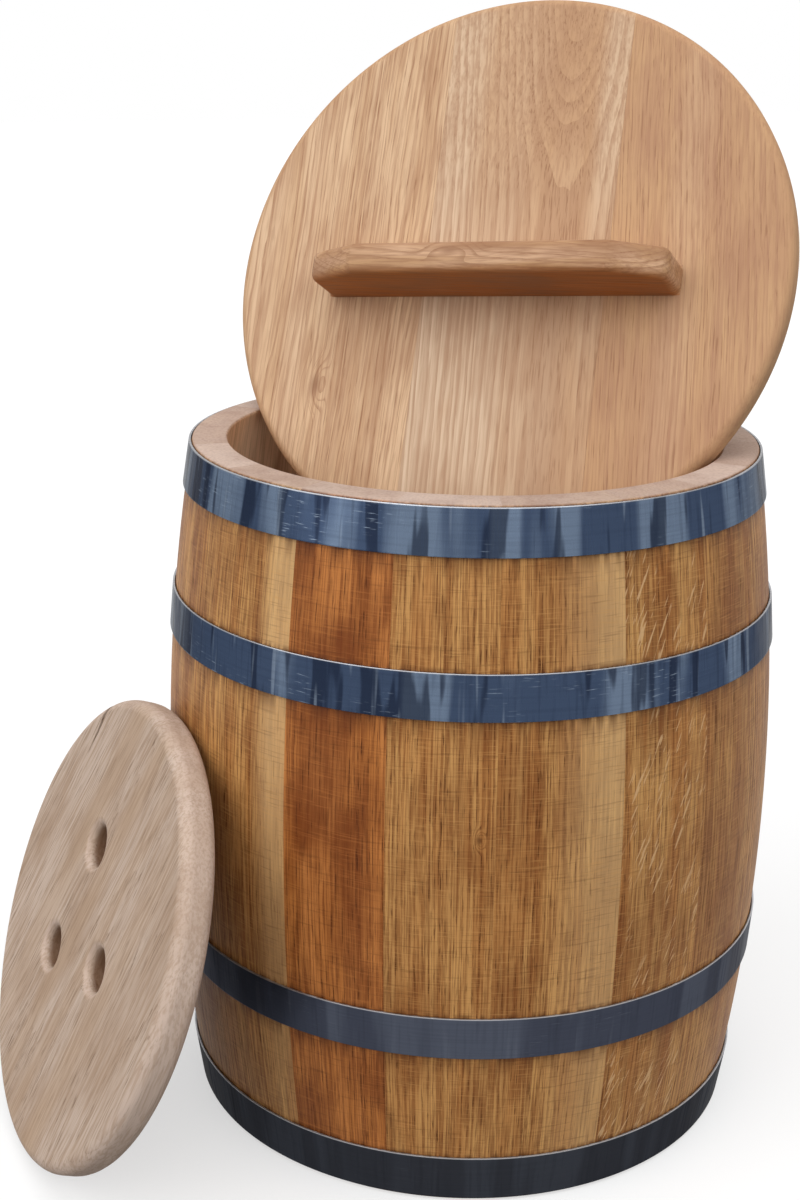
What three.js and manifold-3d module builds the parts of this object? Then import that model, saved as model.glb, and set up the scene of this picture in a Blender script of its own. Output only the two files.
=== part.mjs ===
// Oak sauerkraut barrel: hooped staves round a boarded bottom, a lid that stands in the mouth,
// and a press board with finger holes that leans on the side.
// Millimetres and degrees, +Z up. The set stands on z = 0, its footprint centred on the origin.
import * as THREE from 'three';
import { mergeVertices } from 'three/addons/utils/BufferGeometryUtils.js';
import Module from 'manifold-3d';

const wasm = await Module();
wasm.setup();
const radians = THREE.MathUtils.degToRad;

// Staves: one bulged shell, cut into bevelled staves of slightly uneven width.
const BARREL_HEIGHT = 480;
const END_RADIUS = 194;
const BILGE_RADIUS = 214;
const STAVE_THICKNESS = 24;
const STAVE_COUNT = 18;
const STAVE_WIDTH_SPREAD = 0.12;
const STAVE_WIDTH_TURN = 125;
const FIRST_JOINT_ANGLE = -149.3;
const RIM_EASE = 1.5;
const CHIME_BEVEL = 6;

// Bottom head: boards with a bevelled edge that sits in the croze, the groove round the staves.
const HEAD_RISE = 34;
const HEAD_THICKNESS = 22;
const HEAD_TONGUE = 7;
const HEAD_BEVEL = 22;
const HEAD_SEAMS = [-88, 0, 88];
const CROZE_DEPTH = 6;

// Hoops: strips of steel, lapped and riveted at the back.
const HOOP_THICKNESS = 1.6;
const HOOP_WIDTH = 30;
const CHIME_HOOP_WIDTH = 34;
const RIM_HOOP_DROP = 1;
const UPPER_HOOP_DROP = 101;
const LOWER_HOOP_RISE = 117;
const CHIME_HOOP_RISE = 2.5;
const HOOP_LAP_ANGLE = 55;
const HOOP_LAP_LENGTH = 62;
const HOOP_JOGGLE_LENGTH = 24;
const RIVET_SPACING = 28;
const RIVET_RADIUS = 2.5;
const RIVET_HEAD_RADIUS = 6;
const RIVET_HEAD_HEIGHT = 2.4;

// Lid: three boards, joined by dowels and by the handle bar that is screwed on across them.
const LID_RADIUS = 203;
const LID_THICKNESS = 20;
const LID_EDGE_ROUND = 7;
const LID_SEAMS = [-57, 76];
const LID_FACING = 49.4;
const LID_LEAN = 26;
const LID_TURN = 4.6;
const HANDLE_LENGTH = 258;
const HANDLE_WIDTH = 22;
const HANDLE_HEIGHT = 53;
const HANDLE_BEVEL_LENGTH = 38;
const HANDLE_BEVEL_DROP = 17;
const HANDLE_EDGE_ROUND = 4;
const HANDLE_DROP = 7;
const SCREW_RADIUS = 2.5;
const SCREW_HEAD_RADIUS = 5;
const SCREW_HEAD_HEIGHT = 3.5;
const SCREW_LENGTH = 48;
const SCREW_POINT = 8;
const SCREW_REACH = 92;

// Press board: lies on the cabbage under a weight, and is lifted by its three finger holes.
const PRESS_RADIUS = 161;
const PRESS_THICKNESS = 25;
const PRESS_EDGE_ROUND = 9;
const PRESS_SEAMS = [-35, 43];
const PRESS_FACING = 90;
const PRESS_LEAN = 20;
const PRESS_TURN = -17;
const PRESS_SIDE_SHIFT = 2.7;
const FINGER_HOLE_COUNT = 3;
const FINGER_HOLE_RADIUS = 14.5;
const FINGER_HOLE_LIP = 4;
const FINGER_RING_RADIUS = 52;
const FINGER_RING_SHIFT = -9;
const FINGER_RING_TURN = 3;

// Dowels that join the boards of the head, the lid and the press board.
const DOWEL_RADIUS = 4;
const DOWEL_LENGTH = 60;
const DOWEL_REACH = 0.62;

// Clearances between pieces.
const JOINT_GAP = 0.3;
const HOOP_GAP = 0.65;
const CROZE_GAP = 0.6;
const LID_SEAT_GAP = 1.8;
const PRESS_SEAT_GAP = 0.5;

// Fineness of the curved faces.
const SHELL_FACETS = 48;
const HOOP_FACETS = 56;
const BOARD_FACETS = 56;
const HOLE_FACETS = 16;
const SMALL_FACETS = 10;
const BULGE_STEPS = 6;
const ROUND_STEPS = 2;
const LIP_STEPS = 1;

// Finishes, one material for each piece.
const STAVE_TONES = ['#9a6a3f', '#a97c4f', '#a67a4c', '#ad8457'];
const HEAD_TONE = '#a98559';
const LID_TONES = ['#c49a6f', '#caa278', '#c2966c'];
const HANDLE_TONE = '#c79c6c';
const PRESS_TONES = ['#b5a38d', '#baa893', '#b19d84'];
const DOWEL_TONE = '#c8a877';
const HOOP_TONE = '#4a5266';
const SCREW_TONE = '#b4b6b8';

function oak(tone) {
  return new THREE.MeshStandardMaterial({ color: tone, roughness: 0.6, metalness: 0 });
}

function steel(tone, roughness) {
  return new THREE.MeshStandardMaterial({ color: tone, roughness, metalness: 1 });
}

// A closed geometry as a solid: vertices welded, slivers at the axis dropped.
function solidOf(geometry) {
  const bare = geometry.clone();
  bare.deleteAttribute('normal');
  bare.deleteAttribute('uv');
  const welded = mergeVertices(bare);
  const corners = welded.index.array;
  const triangles = [];
  for (let i = 0; i < corners.length; i += 3) {
    const triangle = [corners[i], corners[i + 1], corners[i + 2]];
    if (new Set(triangle).size === 3) triangles.push(...triangle);
  }
  return new wasm.Manifold(new wasm.Mesh({
    numProp: 3,
    vertProperties: new Float32Array(welded.attributes.position.array),
    triVerts: new Uint32Array(triangles),
  }));
}

function meshOf(name, solid, material) {
  const { vertProperties, triVerts } = solid.getMesh();
  const geometry = new THREE.BufferGeometry();
  geometry.setAttribute('position', new THREE.BufferAttribute(new Float32Array(vertProperties), 3));
  geometry.setIndex(Array.from(triVerts));
  geometry.computeVertexNormals();
  const mesh = new THREE.Mesh(geometry, material);
  mesh.name = name;
  return mesh;
}

// A profile of radius and height, turned about the Z axis.
function turned(profile, facets) {
  return solidOf(new THREE.LatheGeometry(profile, facets).rotateX(Math.PI / 2));
}

function extruded(shape, depth) {
  return new THREE.ExtrudeGeometry(shape, { depth, bevelEnabled: false });
}

// The bulge is one shallow parabola from chime to rim, the same inside and outside.
const halfHeight = BARREL_HEIGHT / 2;
const bulge = BILGE_RADIUS - END_RADIUS;

function outerRadius(height) {
  return BILGE_RADIUS - bulge * (height / halfHeight - 1) ** 2;
}

function innerRadius(height) {
  return outerRadius(height) - STAVE_THICKNESS;
}

function bulgeSlope(height) {
  return -2 * bulge * (height / halfHeight - 1) / halfHeight;
}

// Carries a section on along the bulge, moved in by the inset.
function followBulge(section, from, to, inset) {
  const tangentMeet = outerRadius(from) + bulgeSlope(from) * (to - from) / 2;
  section.lineTo(outerRadius(from) - inset, from);
  section.quadraticCurveTo(tangentMeet - inset, (from + to) / 2, outerRadius(to) - inset, to);
}

const crozeWidth = HEAD_TONGUE + 2 * JOINT_GAP;
const crozeLow = HEAD_RISE + (HEAD_THICKNESS - crozeWidth) / 2;
const crozeHigh = crozeLow + crozeWidth;
const crozeRadius = innerRadius(crozeLow) + CROZE_DEPTH;

// Section of the shell: bevelled chime, bulged outside, eased rim, bulged inside with the croze.
function staveProfile() {
  const section = new THREE.Path();
  section.moveTo(innerRadius(0) + CHIME_BEVEL, 0);
  section.lineTo(outerRadius(0) - RIM_EASE, 0);
  followBulge(section, RIM_EASE, BARREL_HEIGHT - RIM_EASE, 0);
  section.lineTo(outerRadius(BARREL_HEIGHT) - RIM_EASE, BARREL_HEIGHT);
  section.lineTo(innerRadius(BARREL_HEIGHT) + RIM_EASE, BARREL_HEIGHT);
  followBulge(section, BARREL_HEIGHT - RIM_EASE, crozeHigh, STAVE_THICKNESS);
  section.lineTo(crozeRadius, crozeHigh);
  section.lineTo(crozeRadius, crozeLow);
  section.lineTo(innerRadius(crozeLow), crozeLow);
  section.lineTo(innerRadius(CHIME_BEVEL), CHIME_BEVEL);
  section.closePath();
  return section.getPoints(BULGE_STEPS);
}

// Wedge between two joint planes, each set back by half the joint gap.
function staveWedge(start, width) {
  const half = width / 2;
  const apex = JOINT_GAP / 2 / Math.sin(half);
  const reach = 2 * BILGE_RADIUS;
  const wedge = new THREE.Shape();
  wedge.moveTo(apex, 0);
  wedge.lineTo(apex + reach * Math.cos(half), -reach * Math.sin(half));
  wedge.lineTo(apex + reach * Math.cos(half), reach * Math.sin(half));
  wedge.closePath();
  return solidOf(extruded(wedge, BARREL_HEIGHT * 2).translate(0, 0, -halfHeight).rotateZ(start + half));
}

function makeStaves() {
  const shares = [];
  for (let i = 0; i < STAVE_COUNT; i += 1) {
    const phase = Math.PI / 2 + (i - 2) * radians(STAVE_WIDTH_TURN);
    shares.push(1 + STAVE_WIDTH_SPREAD * Math.sin(phase));
  }
  const total = shares.reduce((sum, share) => sum + share, 0);
  const shell = turned(staveProfile(), SHELL_FACETS);
  const staves = new THREE.Group();
  let start = radians(FIRST_JOINT_ANGLE);
  shares.forEach((share, i) => {
    const width = 2 * Math.PI * share / total;
    const name = `stave_${String(i + 1).padStart(2, '0')}`;
    const stave = shell.intersect(staveWedge(start, width));
    staves.add(meshOf(name, stave, oak(STAVE_TONES[i % STAVE_TONES.length])));
    start += width;
  });
  return staves;
}

// Plan of a hoop: once round, then stepped out over its own start for the length of the lap.
function hoopPlan(radius) {
  const fullTurn = 2 * Math.PI;
  const lap = HOOP_LAP_LENGTH / radius;
  const joggle = HOOP_JOGGLE_LENGTH / radius;
  const step = HOOP_THICKNESS + JOINT_GAP;
  const count = Math.ceil(HOOP_FACETS * (1 + lap / fullTurn));
  const inside = [];
  const outside = [];
  for (let i = 0; i <= count; i += 1) {
    const angle = (fullTurn + lap) * i / count;
    const lift = step * THREE.MathUtils.smoothstep(angle, fullTurn - joggle, fullTurn - joggle / 4);
    const direction = new THREE.Vector2(1, 0).rotateAround(new THREE.Vector2(), angle);
    inside.push(direction.clone().multiplyScalar(radius + lift));
    outside.push(direction.clone().multiplyScalar(radius + lift + HOOP_THICKNESS));
  }
  return new THREE.Shape([...outside, ...inside.reverse()]);
}

// The strip leans with the staves: each point moves out by the same amount as the bulge does.
function taperedHoop(low, width) {
  const foot = outerRadius(low) + HOOP_GAP;
  const flare = outerRadius(low + width) - outerRadius(low);
  const strip = extruded(hoopPlan(foot), width);
  const points = strip.attributes.position;
  for (let i = 0; i < points.count; i += 1) {
    const radius = Math.hypot(points.getX(i), points.getY(i));
    const scale = 1 + flare * points.getZ(i) / width / radius;
    points.setXY(i, points.getX(i) * scale, points.getY(i) * scale);
  }
  return solidOf(strip.rotateZ(radians(HOOP_LAP_ANGLE)).translate(0, 0, low));
}

// Rivet along +X from the inner face of the lap, with a low domed head outside.
function rivetSolid() {
  const grip = 2 * HOOP_THICKNESS + 2 * JOINT_GAP;
  const profile = new THREE.Path();
  profile.moveTo(0, 0);
  profile.lineTo(RIVET_RADIUS, 0);
  profile.lineTo(RIVET_RADIUS, grip);
  profile.lineTo(RIVET_HEAD_RADIUS, grip);
  profile.quadraticCurveTo(RIVET_HEAD_RADIUS, grip + RIVET_HEAD_HEIGHT, 0, grip + RIVET_HEAD_HEIGHT);
  const points = profile.getPoints(ROUND_STEPS);
  return solidOf(new THREE.LatheGeometry(points, SMALL_FACETS).rotateZ(-Math.PI / 2));
}

function rivetHole() {
  const bore = new THREE.CylinderGeometry(
    RIVET_RADIUS + JOINT_GAP, RIVET_RADIUS + JOINT_GAP, 12 * HOOP_THICKNESS, SMALL_FACETS);
  return solidOf(bore.rotateZ(-Math.PI / 2));
}

function makeHoop(label, low, width) {
  const middle = low + width / 2;
  const radius = outerRadius(middle) + HOOP_GAP;
  const slope = THREE.MathUtils.radToDeg(Math.atan2(outerRadius(low + width) - outerRadius(low), width));
  const hoop = new THREE.Group();
  let strip = taperedHoop(low, width);
  [-1, 1].forEach((side, i) => {
    const along = (HOOP_LAP_LENGTH + side * RIVET_SPACING) / 2;
    const angle = HOOP_LAP_ANGLE + THREE.MathUtils.radToDeg(along / radius);
    const place = (solid) => solid.rotate([0, slope, 0]).translate([radius, 0, middle]).rotate([0, 0, angle]);
    strip = strip.subtract(place(rivetHole()));
    hoop.add(meshOf(`${label}_rivet_${i + 1}`, place(rivetSolid()), steel(HOOP_TONE, 0.4)));
  });
  hoop.add(meshOf(label, strip, steel(HOOP_TONE, 0.35)));
  return hoop;
}

function makeHoops() {
  const hoops = new THREE.Group();
  hoops.add(makeHoop('rim_hoop', BARREL_HEIGHT - RIM_HOOP_DROP - HOOP_WIDTH, HOOP_WIDTH));
  hoops.add(makeHoop('upper_hoop', BARREL_HEIGHT - UPPER_HOOP_DROP - HOOP_WIDTH, HOOP_WIDTH));
  hoops.add(makeHoop('lower_hoop', LOWER_HOOP_RISE, HOOP_WIDTH));
  hoops.add(makeHoop('chime_hoop', CHIME_HOOP_RISE, CHIME_HOOP_WIDTH));
  return hoops;
}

// A round blank sawn into boards along Y, with two dowels across each seam at mid thickness.
function boardedDisc(label, blank, radius, thickness, seams, tones) {
  const disc = new THREE.Group();
  const dowels = [];
  const sockets = [];
  seams.forEach((seam) => {
    const reach = DOWEL_REACH * Math.sqrt(radius ** 2 - seam ** 2);
    [-reach, reach].forEach((along) => {
      const rod = (grow) => solidOf(new THREE.CylinderGeometry(
        DOWEL_RADIUS + grow, DOWEL_RADIUS + grow, DOWEL_LENGTH + 2 * grow, SMALL_FACETS,
      ).rotateZ(Math.PI / 2).translate(seam, along, thickness / 2));
      dowels.push(rod(0));
      sockets.push(rod(JOINT_GAP));
    });
  });
  const bored = sockets.reduce((solid, socket) => solid.subtract(socket), blank);
  const edges = [-2 * radius, ...seams, 2 * radius];
  for (let i = 0; i + 1 < edges.length; i += 1) {
    const width = edges[i + 1] - edges[i] - JOINT_GAP;
    const slab = new THREE.BoxGeometry(width, 4 * radius, 4 * thickness);
    slab.translate((edges[i] + edges[i + 1]) / 2, 0, 0);
    const board = bored.intersect(solidOf(slab));
    disc.add(meshOf(`${label}_board_${i + 1}`, board, oak(tones[i % tones.length])));
  }
  dowels.forEach((dowel, i) => disc.add(meshOf(`${label}_dowel_${i + 1}`, dowel, oak(DOWEL_TONE))));
  return disc;
}

// Bottom head, bevelled from both sides down to the tongue in the croze.
function makeHead() {
  const radius = crozeRadius - CROZE_GAP;
  const tongueLow = (HEAD_THICKNESS - HEAD_TONGUE) / 2;
  const profile = [
    new THREE.Vector2(0, 0),
    new THREE.Vector2(radius - HEAD_BEVEL, 0),
    new THREE.Vector2(radius - CROZE_DEPTH, tongueLow),
    new THREE.Vector2(radius, tongueLow),
    new THREE.Vector2(radius, tongueLow + HEAD_TONGUE),
    new THREE.Vector2(radius - CROZE_DEPTH, tongueLow + HEAD_TONGUE),
    new THREE.Vector2(radius - HEAD_BEVEL, HEAD_THICKNESS),
    new THREE.Vector2(0, HEAD_THICKNESS),
  ];
  const blank = turned(profile, BOARD_FACETS);
  const head = boardedDisc('head', blank, radius, HEAD_THICKNESS, HEAD_SEAMS, [HEAD_TONE]);
  head.position.z = HEAD_RISE;
  return head;
}

// Round board with both edges rounded over.
function roundedBlank(radius, thickness, round) {
  const profile = new THREE.Path();
  profile.moveTo(0, 0);
  profile.lineTo(radius - round, 0);
  profile.absarc(radius - round, round, round, -Math.PI / 2, 0, false);
  profile.absarc(radius - round, thickness - round, round, 0, Math.PI / 2, false);
  profile.lineTo(0, thickness);
  return turned(profile.getPoints(ROUND_STEPS), BOARD_FACETS);
}

// Countersunk screw from the under face of the lid up into the handle.
function screwSolid(grow) {
  const profile = [
    new THREE.Vector2(0, -grow),
    new THREE.Vector2(SCREW_HEAD_RADIUS + grow, -grow),
    new THREE.Vector2(SCREW_HEAD_RADIUS + grow, grow),
    new THREE.Vector2(SCREW_RADIUS + grow, SCREW_HEAD_HEIGHT + grow),
    new THREE.Vector2(SCREW_RADIUS + grow, SCREW_LENGTH - SCREW_POINT + grow),
    new THREE.Vector2(0, SCREW_LENGTH + grow),
  ];
  return turned(profile, SMALL_FACETS);
}

// Handle: a bar on edge across the boards, its outer corners cut off and its edges rounded.
function handleSolid() {
  const end = HANDLE_LENGTH / 2;
  const side = new THREE.Shape();
  side.moveTo(-end, 0);
  side.lineTo(end, 0);
  side.lineTo(end, HANDLE_HEIGHT - HANDLE_BEVEL_DROP);
  side.lineTo(end - HANDLE_BEVEL_LENGTH, HANDLE_HEIGHT);
  side.lineTo(HANDLE_BEVEL_LENGTH - end, HANDLE_HEIGHT);
  side.lineTo(-end, HANDLE_HEIGHT - HANDLE_BEVEL_DROP);
  side.closePath();
  const bar = new THREE.ExtrudeGeometry(side, {
    depth: HANDLE_WIDTH - 2 * HANDLE_EDGE_ROUND,
    bevelThickness: HANDLE_EDGE_ROUND,
    bevelSize: HANDLE_EDGE_ROUND,
    bevelOffset: -HANDLE_EDGE_ROUND,
    bevelSegments: ROUND_STEPS + 1,
  });
  bar.translate(0, 0, HANDLE_EDGE_ROUND - HANDLE_WIDTH / 2);
  return solidOf(bar.rotateX(Math.PI / 2));
}

// Lid as it lies flat: under face at z = 0, handle standing on the upper face.
function makeLid() {
  const screwPlaces = [-SCREW_REACH, 0, SCREW_REACH];
  const handleFoot = LID_THICKNESS + JOINT_GAP;
  let blank = roundedBlank(LID_RADIUS, LID_THICKNESS, LID_EDGE_ROUND);
  let handle = handleSolid().translate([0, -HANDLE_DROP, handleFoot]);
  screwPlaces.forEach((x) => {
    const bore = screwSolid(JOINT_GAP).translate([x, -HANDLE_DROP, 0]);
    blank = blank.subtract(bore);
    handle = handle.subtract(bore);
  });
  const lid = boardedDisc('lid', blank, LID_RADIUS, LID_THICKNESS, LID_SEAMS, LID_TONES);
  lid.add(meshOf('lid_handle', handle, oak(HANDLE_TONE)));
  screwPlaces.forEach((x, i) => {
    const screw = screwSolid(0).translate([x, -HANDLE_DROP, 0]);
    lid.add(meshOf(`handle_screw_${i + 1}`, screw, steel(SCREW_TONE, 0.3)));
  });
  return lid;
}

// Through hole for a finger, with both lips rounded over.
function fingerHole() {
  const lipRadius = FINGER_HOLE_RADIUS + FINGER_HOLE_LIP;
  const top = PRESS_THICKNESS;
  const profile = new THREE.Path();
  profile.moveTo(0, -FINGER_HOLE_LIP);
  profile.lineTo(lipRadius, -FINGER_HOLE_LIP);
  profile.absarc(lipRadius, FINGER_HOLE_LIP, FINGER_HOLE_LIP, -Math.PI / 2, -Math.PI, true);
  profile.absarc(lipRadius, top - FINGER_HOLE_LIP, FINGER_HOLE_LIP, Math.PI, Math.PI / 2, true);
  profile.lineTo(lipRadius, top + FINGER_HOLE_LIP);
  profile.lineTo(0, top + FINGER_HOLE_LIP);
  return turned(profile.getPoints(LIP_STEPS), HOLE_FACETS);
}

// Press board as it lies flat, with the ring of finger holes a little off its centre.
function makePressBoard() {
  let blank = roundedBlank(PRESS_RADIUS, PRESS_THICKNESS, PRESS_EDGE_ROUND);
  for (let i = 0; i < FINGER_HOLE_COUNT; i += 1) {
    const angle = radians(FINGER_RING_TURN + 360 * i / FINGER_HOLE_COUNT);
    const x = FINGER_RING_SHIFT + FINGER_RING_RADIUS * Math.cos(angle);
    const y = FINGER_RING_RADIUS * Math.sin(angle);
    blank = blank.subtract(fingerHole().translate([x, y, 0]));
  }
  return boardedDisc('press', blank, PRESS_RADIUS, PRESS_THICKNESS, PRESS_SEAMS, PRESS_TONES);
}

// Stands a flat disc up: its upper face looks to the facing angle, turned clockwise from -Y,
// and leans back from upright. The turn spins the disc in its own plane.
function stood(disc, thickness, facing, lean, turn) {
  disc.position.z = -thickness / 2;
  const spun = new THREE.Group();
  spun.rotation.z = radians(turn);
  spun.add(disc);
  const stand = new THREE.Group();
  stand.rotation.order = 'ZXY';
  stand.rotation.x = radians(90 - lean);
  stand.rotation.z = radians(-facing);
  stand.add(spun);
  return stand;
}

// The lid hangs in the mouth by its round edge, where it is as wide as the mouth.
function standLid(lid) {
  const stand = stood(lid, LID_THICKNESS, LID_FACING, LID_LEAN, LID_TURN);
  const halfWidth = innerRadius(BARREL_HEIGHT) - LID_SEAT_GAP;
  const rise = Math.sqrt(LID_RADIUS ** 2 - halfWidth ** 2);
  const up = new THREE.Vector3(0, 1, 0).applyEuler(stand.rotation);
  stand.position.set(0, 0, BARREL_HEIGHT).addScaledVector(up, rise);
  return stand;
}

// The press board stands on its rounded lower edge, and its upper edge touches the bulge.
function standPressBoard(board) {
  const stand = stood(board, PRESS_THICKNESS, PRESS_FACING, PRESS_LEAN, PRESS_TURN);
  const lean = radians(PRESS_LEAN);
  const flat = PRESS_RADIUS - PRESS_EDGE_ROUND;
  const half = PRESS_THICKNESS / 2 - PRESS_EDGE_ROUND;
  const centreHeight = flat * Math.cos(lean) + half * Math.sin(lean) + PRESS_EDGE_ROUND;
  const edgeHeight = centreHeight + flat * Math.cos(lean) - half * Math.sin(lean);
  const edgeToCentre = flat * Math.sin(lean) + half * Math.cos(lean);
  const clearOfStaves = (PRESS_EDGE_ROUND + PRESS_SEAT_GAP) * Math.hypot(1, bulgeSlope(edgeHeight));
  const edgeRadius = outerRadius(edgeHeight) + clearOfStaves;
  const place = new THREE.Vector3(-PRESS_SIDE_SHIFT, -edgeRadius - edgeToCentre, centreHeight);
  stand.position.copy(place.applyAxisAngle(new THREE.Vector3(0, 0, 1), stand.rotation.z));
  return stand;
}

const barrelSet = new THREE.Group();
barrelSet.add(makeStaves());
barrelSet.add(makeHoops());
barrelSet.add(makeHead());
barrelSet.add(standLid(makeLid()));
barrelSet.add(standPressBoard(makePressBoard()));

const sauerkrautBarrel = new THREE.Group();
sauerkrautBarrel.add(barrelSet);
sauerkrautBarrel.updateMatrixWorld(true);
const footprint = new THREE.Box3().setFromObject(barrelSet, true);
const footprintCentre = footprint.getCenter(new THREE.Vector3());
barrelSet.position.set(-footprintCentre.x, -footprintCentre.y, -footprint.min.z);

export default sauerkrautBarrel;
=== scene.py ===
"""Sauerkraut barrel: oak staves bound by steel hoops, with its lid and its press board, on a plain stage.

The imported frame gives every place. The operators below dress it piece by piece, in metres.
"""

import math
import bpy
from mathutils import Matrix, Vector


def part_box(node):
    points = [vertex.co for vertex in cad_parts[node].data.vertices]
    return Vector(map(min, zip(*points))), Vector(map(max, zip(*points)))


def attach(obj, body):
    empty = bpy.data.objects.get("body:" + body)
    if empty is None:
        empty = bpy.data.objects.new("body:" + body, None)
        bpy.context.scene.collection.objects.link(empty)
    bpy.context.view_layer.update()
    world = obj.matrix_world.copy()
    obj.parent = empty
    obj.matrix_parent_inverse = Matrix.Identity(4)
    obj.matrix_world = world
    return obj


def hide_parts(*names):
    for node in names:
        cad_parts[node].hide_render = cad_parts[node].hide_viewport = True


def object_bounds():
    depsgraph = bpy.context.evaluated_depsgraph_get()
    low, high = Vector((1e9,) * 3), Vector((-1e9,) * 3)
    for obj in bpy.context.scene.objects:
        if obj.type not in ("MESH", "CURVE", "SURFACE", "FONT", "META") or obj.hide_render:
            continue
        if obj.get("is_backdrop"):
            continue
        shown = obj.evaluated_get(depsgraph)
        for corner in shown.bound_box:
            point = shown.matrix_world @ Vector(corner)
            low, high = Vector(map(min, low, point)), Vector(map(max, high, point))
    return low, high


bl_info = {
    "name": "Sauerkraut barrel",
    "version": (1, 0, 0),
    "blender": (4, 5, 0),
    "location": "3D View > Sidebar > Barrel",
    "description": "Dresses the barrel's frame with oak, steel hoops and a plain studio stage",
    "category": "Object",
}

from functools import partial

import bmesh
import bpy
import numpy as np
from bpy.props import FloatProperty, FloatVectorProperty, PointerProperty
from mathutils import Matrix, Vector

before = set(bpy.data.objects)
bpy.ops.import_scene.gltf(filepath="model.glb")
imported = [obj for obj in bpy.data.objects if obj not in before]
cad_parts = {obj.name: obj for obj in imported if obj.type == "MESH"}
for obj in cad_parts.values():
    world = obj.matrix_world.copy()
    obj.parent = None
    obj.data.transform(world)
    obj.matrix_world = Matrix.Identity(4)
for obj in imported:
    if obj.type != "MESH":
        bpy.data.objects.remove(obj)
CAD_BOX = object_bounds()
MM = 0.001

STAVES = sorted(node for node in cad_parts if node.startswith("stave_"))
HOOPS = ("rim_hoop", "upper_hoop", "lower_hoop", "chime_hoop")
LID_BOARDS = ("lid_board_1", "lid_board_2", "lid_board_3")
PRESS_BOARDS = ("press_board_1", "press_board_2", "press_board_3")


def box_round(nodes):
    """Lowest and highest corner of several nodes of the frame together."""
    boxes = [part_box(node) for node in nodes]
    low = Vector([min(box[0][axis] for box in boxes) for axis in range(3)])
    high = Vector([max(box[1][axis] for box in boxes) for axis in range(3)])
    return low, high


STAVE_LOW, STAVE_HIGH = box_round(STAVES)
BARREL_AXIS = Vector(((STAVE_LOW.x + STAVE_HIGH.x) / 2, (STAVE_LOW.y + STAVE_HIGH.y) / 2, 0))
# Lower and upper edge of each hoop.
HOOP_HEIGHTS = {hoop: [corner.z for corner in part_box(hoop)] for hoop in HOOPS}


def linear(code):
    """Linear colour, with alpha, of an sRGB hex code."""
    shades = [int(code[place:place + 2], 16) / 255 for place in (1, 3, 5)]
    return tuple(s / 12.92 if s <= 0.04045 else ((s + 0.055) / 1.055) ** 2.4 for s in shades) + (1.0,)


def length(name, description, default):
    """Property for a size in metres."""
    return FloatProperty(name=name, description=description, default=default, unit="LENGTH", precision=4)


def angle(name, description, degrees):
    """Property for an angle, given in degrees."""
    return FloatProperty(name=name, description=description, default=math.radians(degrees), subtype="ANGLE")


def colour(name, description, code):
    """Property for a colour, given as an sRGB hex code."""
    return FloatVectorProperty(
        name=name, description=description, default=linear(code)[:3], subtype="COLOR", size=3, min=0, max=1)


class StaveSizes(bpy.types.PropertyGroup):
    """Sizes of the bulged ring of staves."""

    height: length("Height", "Height of the staves", STAVE_HIGH.z)
    end_radius: length("End radius", "Outer radius at the rim and at the foot", 194 * MM)
    bilge_radius: length("Bilge radius", "Outer radius at mid height", (STAVE_HIGH.y - STAVE_LOW.y) / 2)
    thickness: length("Thickness", "Thickness of a stave", 24 * MM)
    rim_round: length("Rim round", "Rounding of the edges at the rim", 1.5 * MM)
    chime_bevel: length("Chime bevel", "Bevel inside the foot", 6 * MM)
    croze_low: length("Croze low", "Lower edge of the groove for the head", 41.2 * MM)
    croze_high: length("Croze high", "Upper edge of the groove for the head", 48.8 * MM)
    croze_depth: length("Croze depth", "Depth of the groove for the head", 6 * MM)
    joint_close: length("Joint close", "How far each side moves to close the frame's joint gap", 0.14 * MM)


class HoopSizes(bpy.types.PropertyGroup):
    """Sizes of the hoops and of their rivets."""

    thickness: length("Thickness", "Thickness of the steel strip", 1.6 * MM)
    gap: length("Gap", "Air between hoop and staves", 0.4 * MM)
    lap_gap: length("Lap gap", "Air between the two layers of the lap", 0.3 * MM)
    lap_length: length("Lap length", "Length of the riveted lap", 62 * MM)
    joggle_length: length("Joggle length", "Length of the step up to the lap", 24 * MM)
    edge_round: length("Edge round", "Rounding of the strip's edges", 0.4 * MM)
    # The bright line along the upper edge is wear with a painted highlight.
    wear_and_highlight_edge: length("Worn edge", "Width of the bright worn line along the upper edge", 0.9 * MM)
    rivet_radius: length("Rivet radius", "Radius of a rivet's head", 6 * MM)
    rivet_height: length("Rivet height", "Height of a rivet's head", 2.4 * MM)
    lap_angle: angle("Lap angle", "Where the lap starts, from the X axis", 55)


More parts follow.
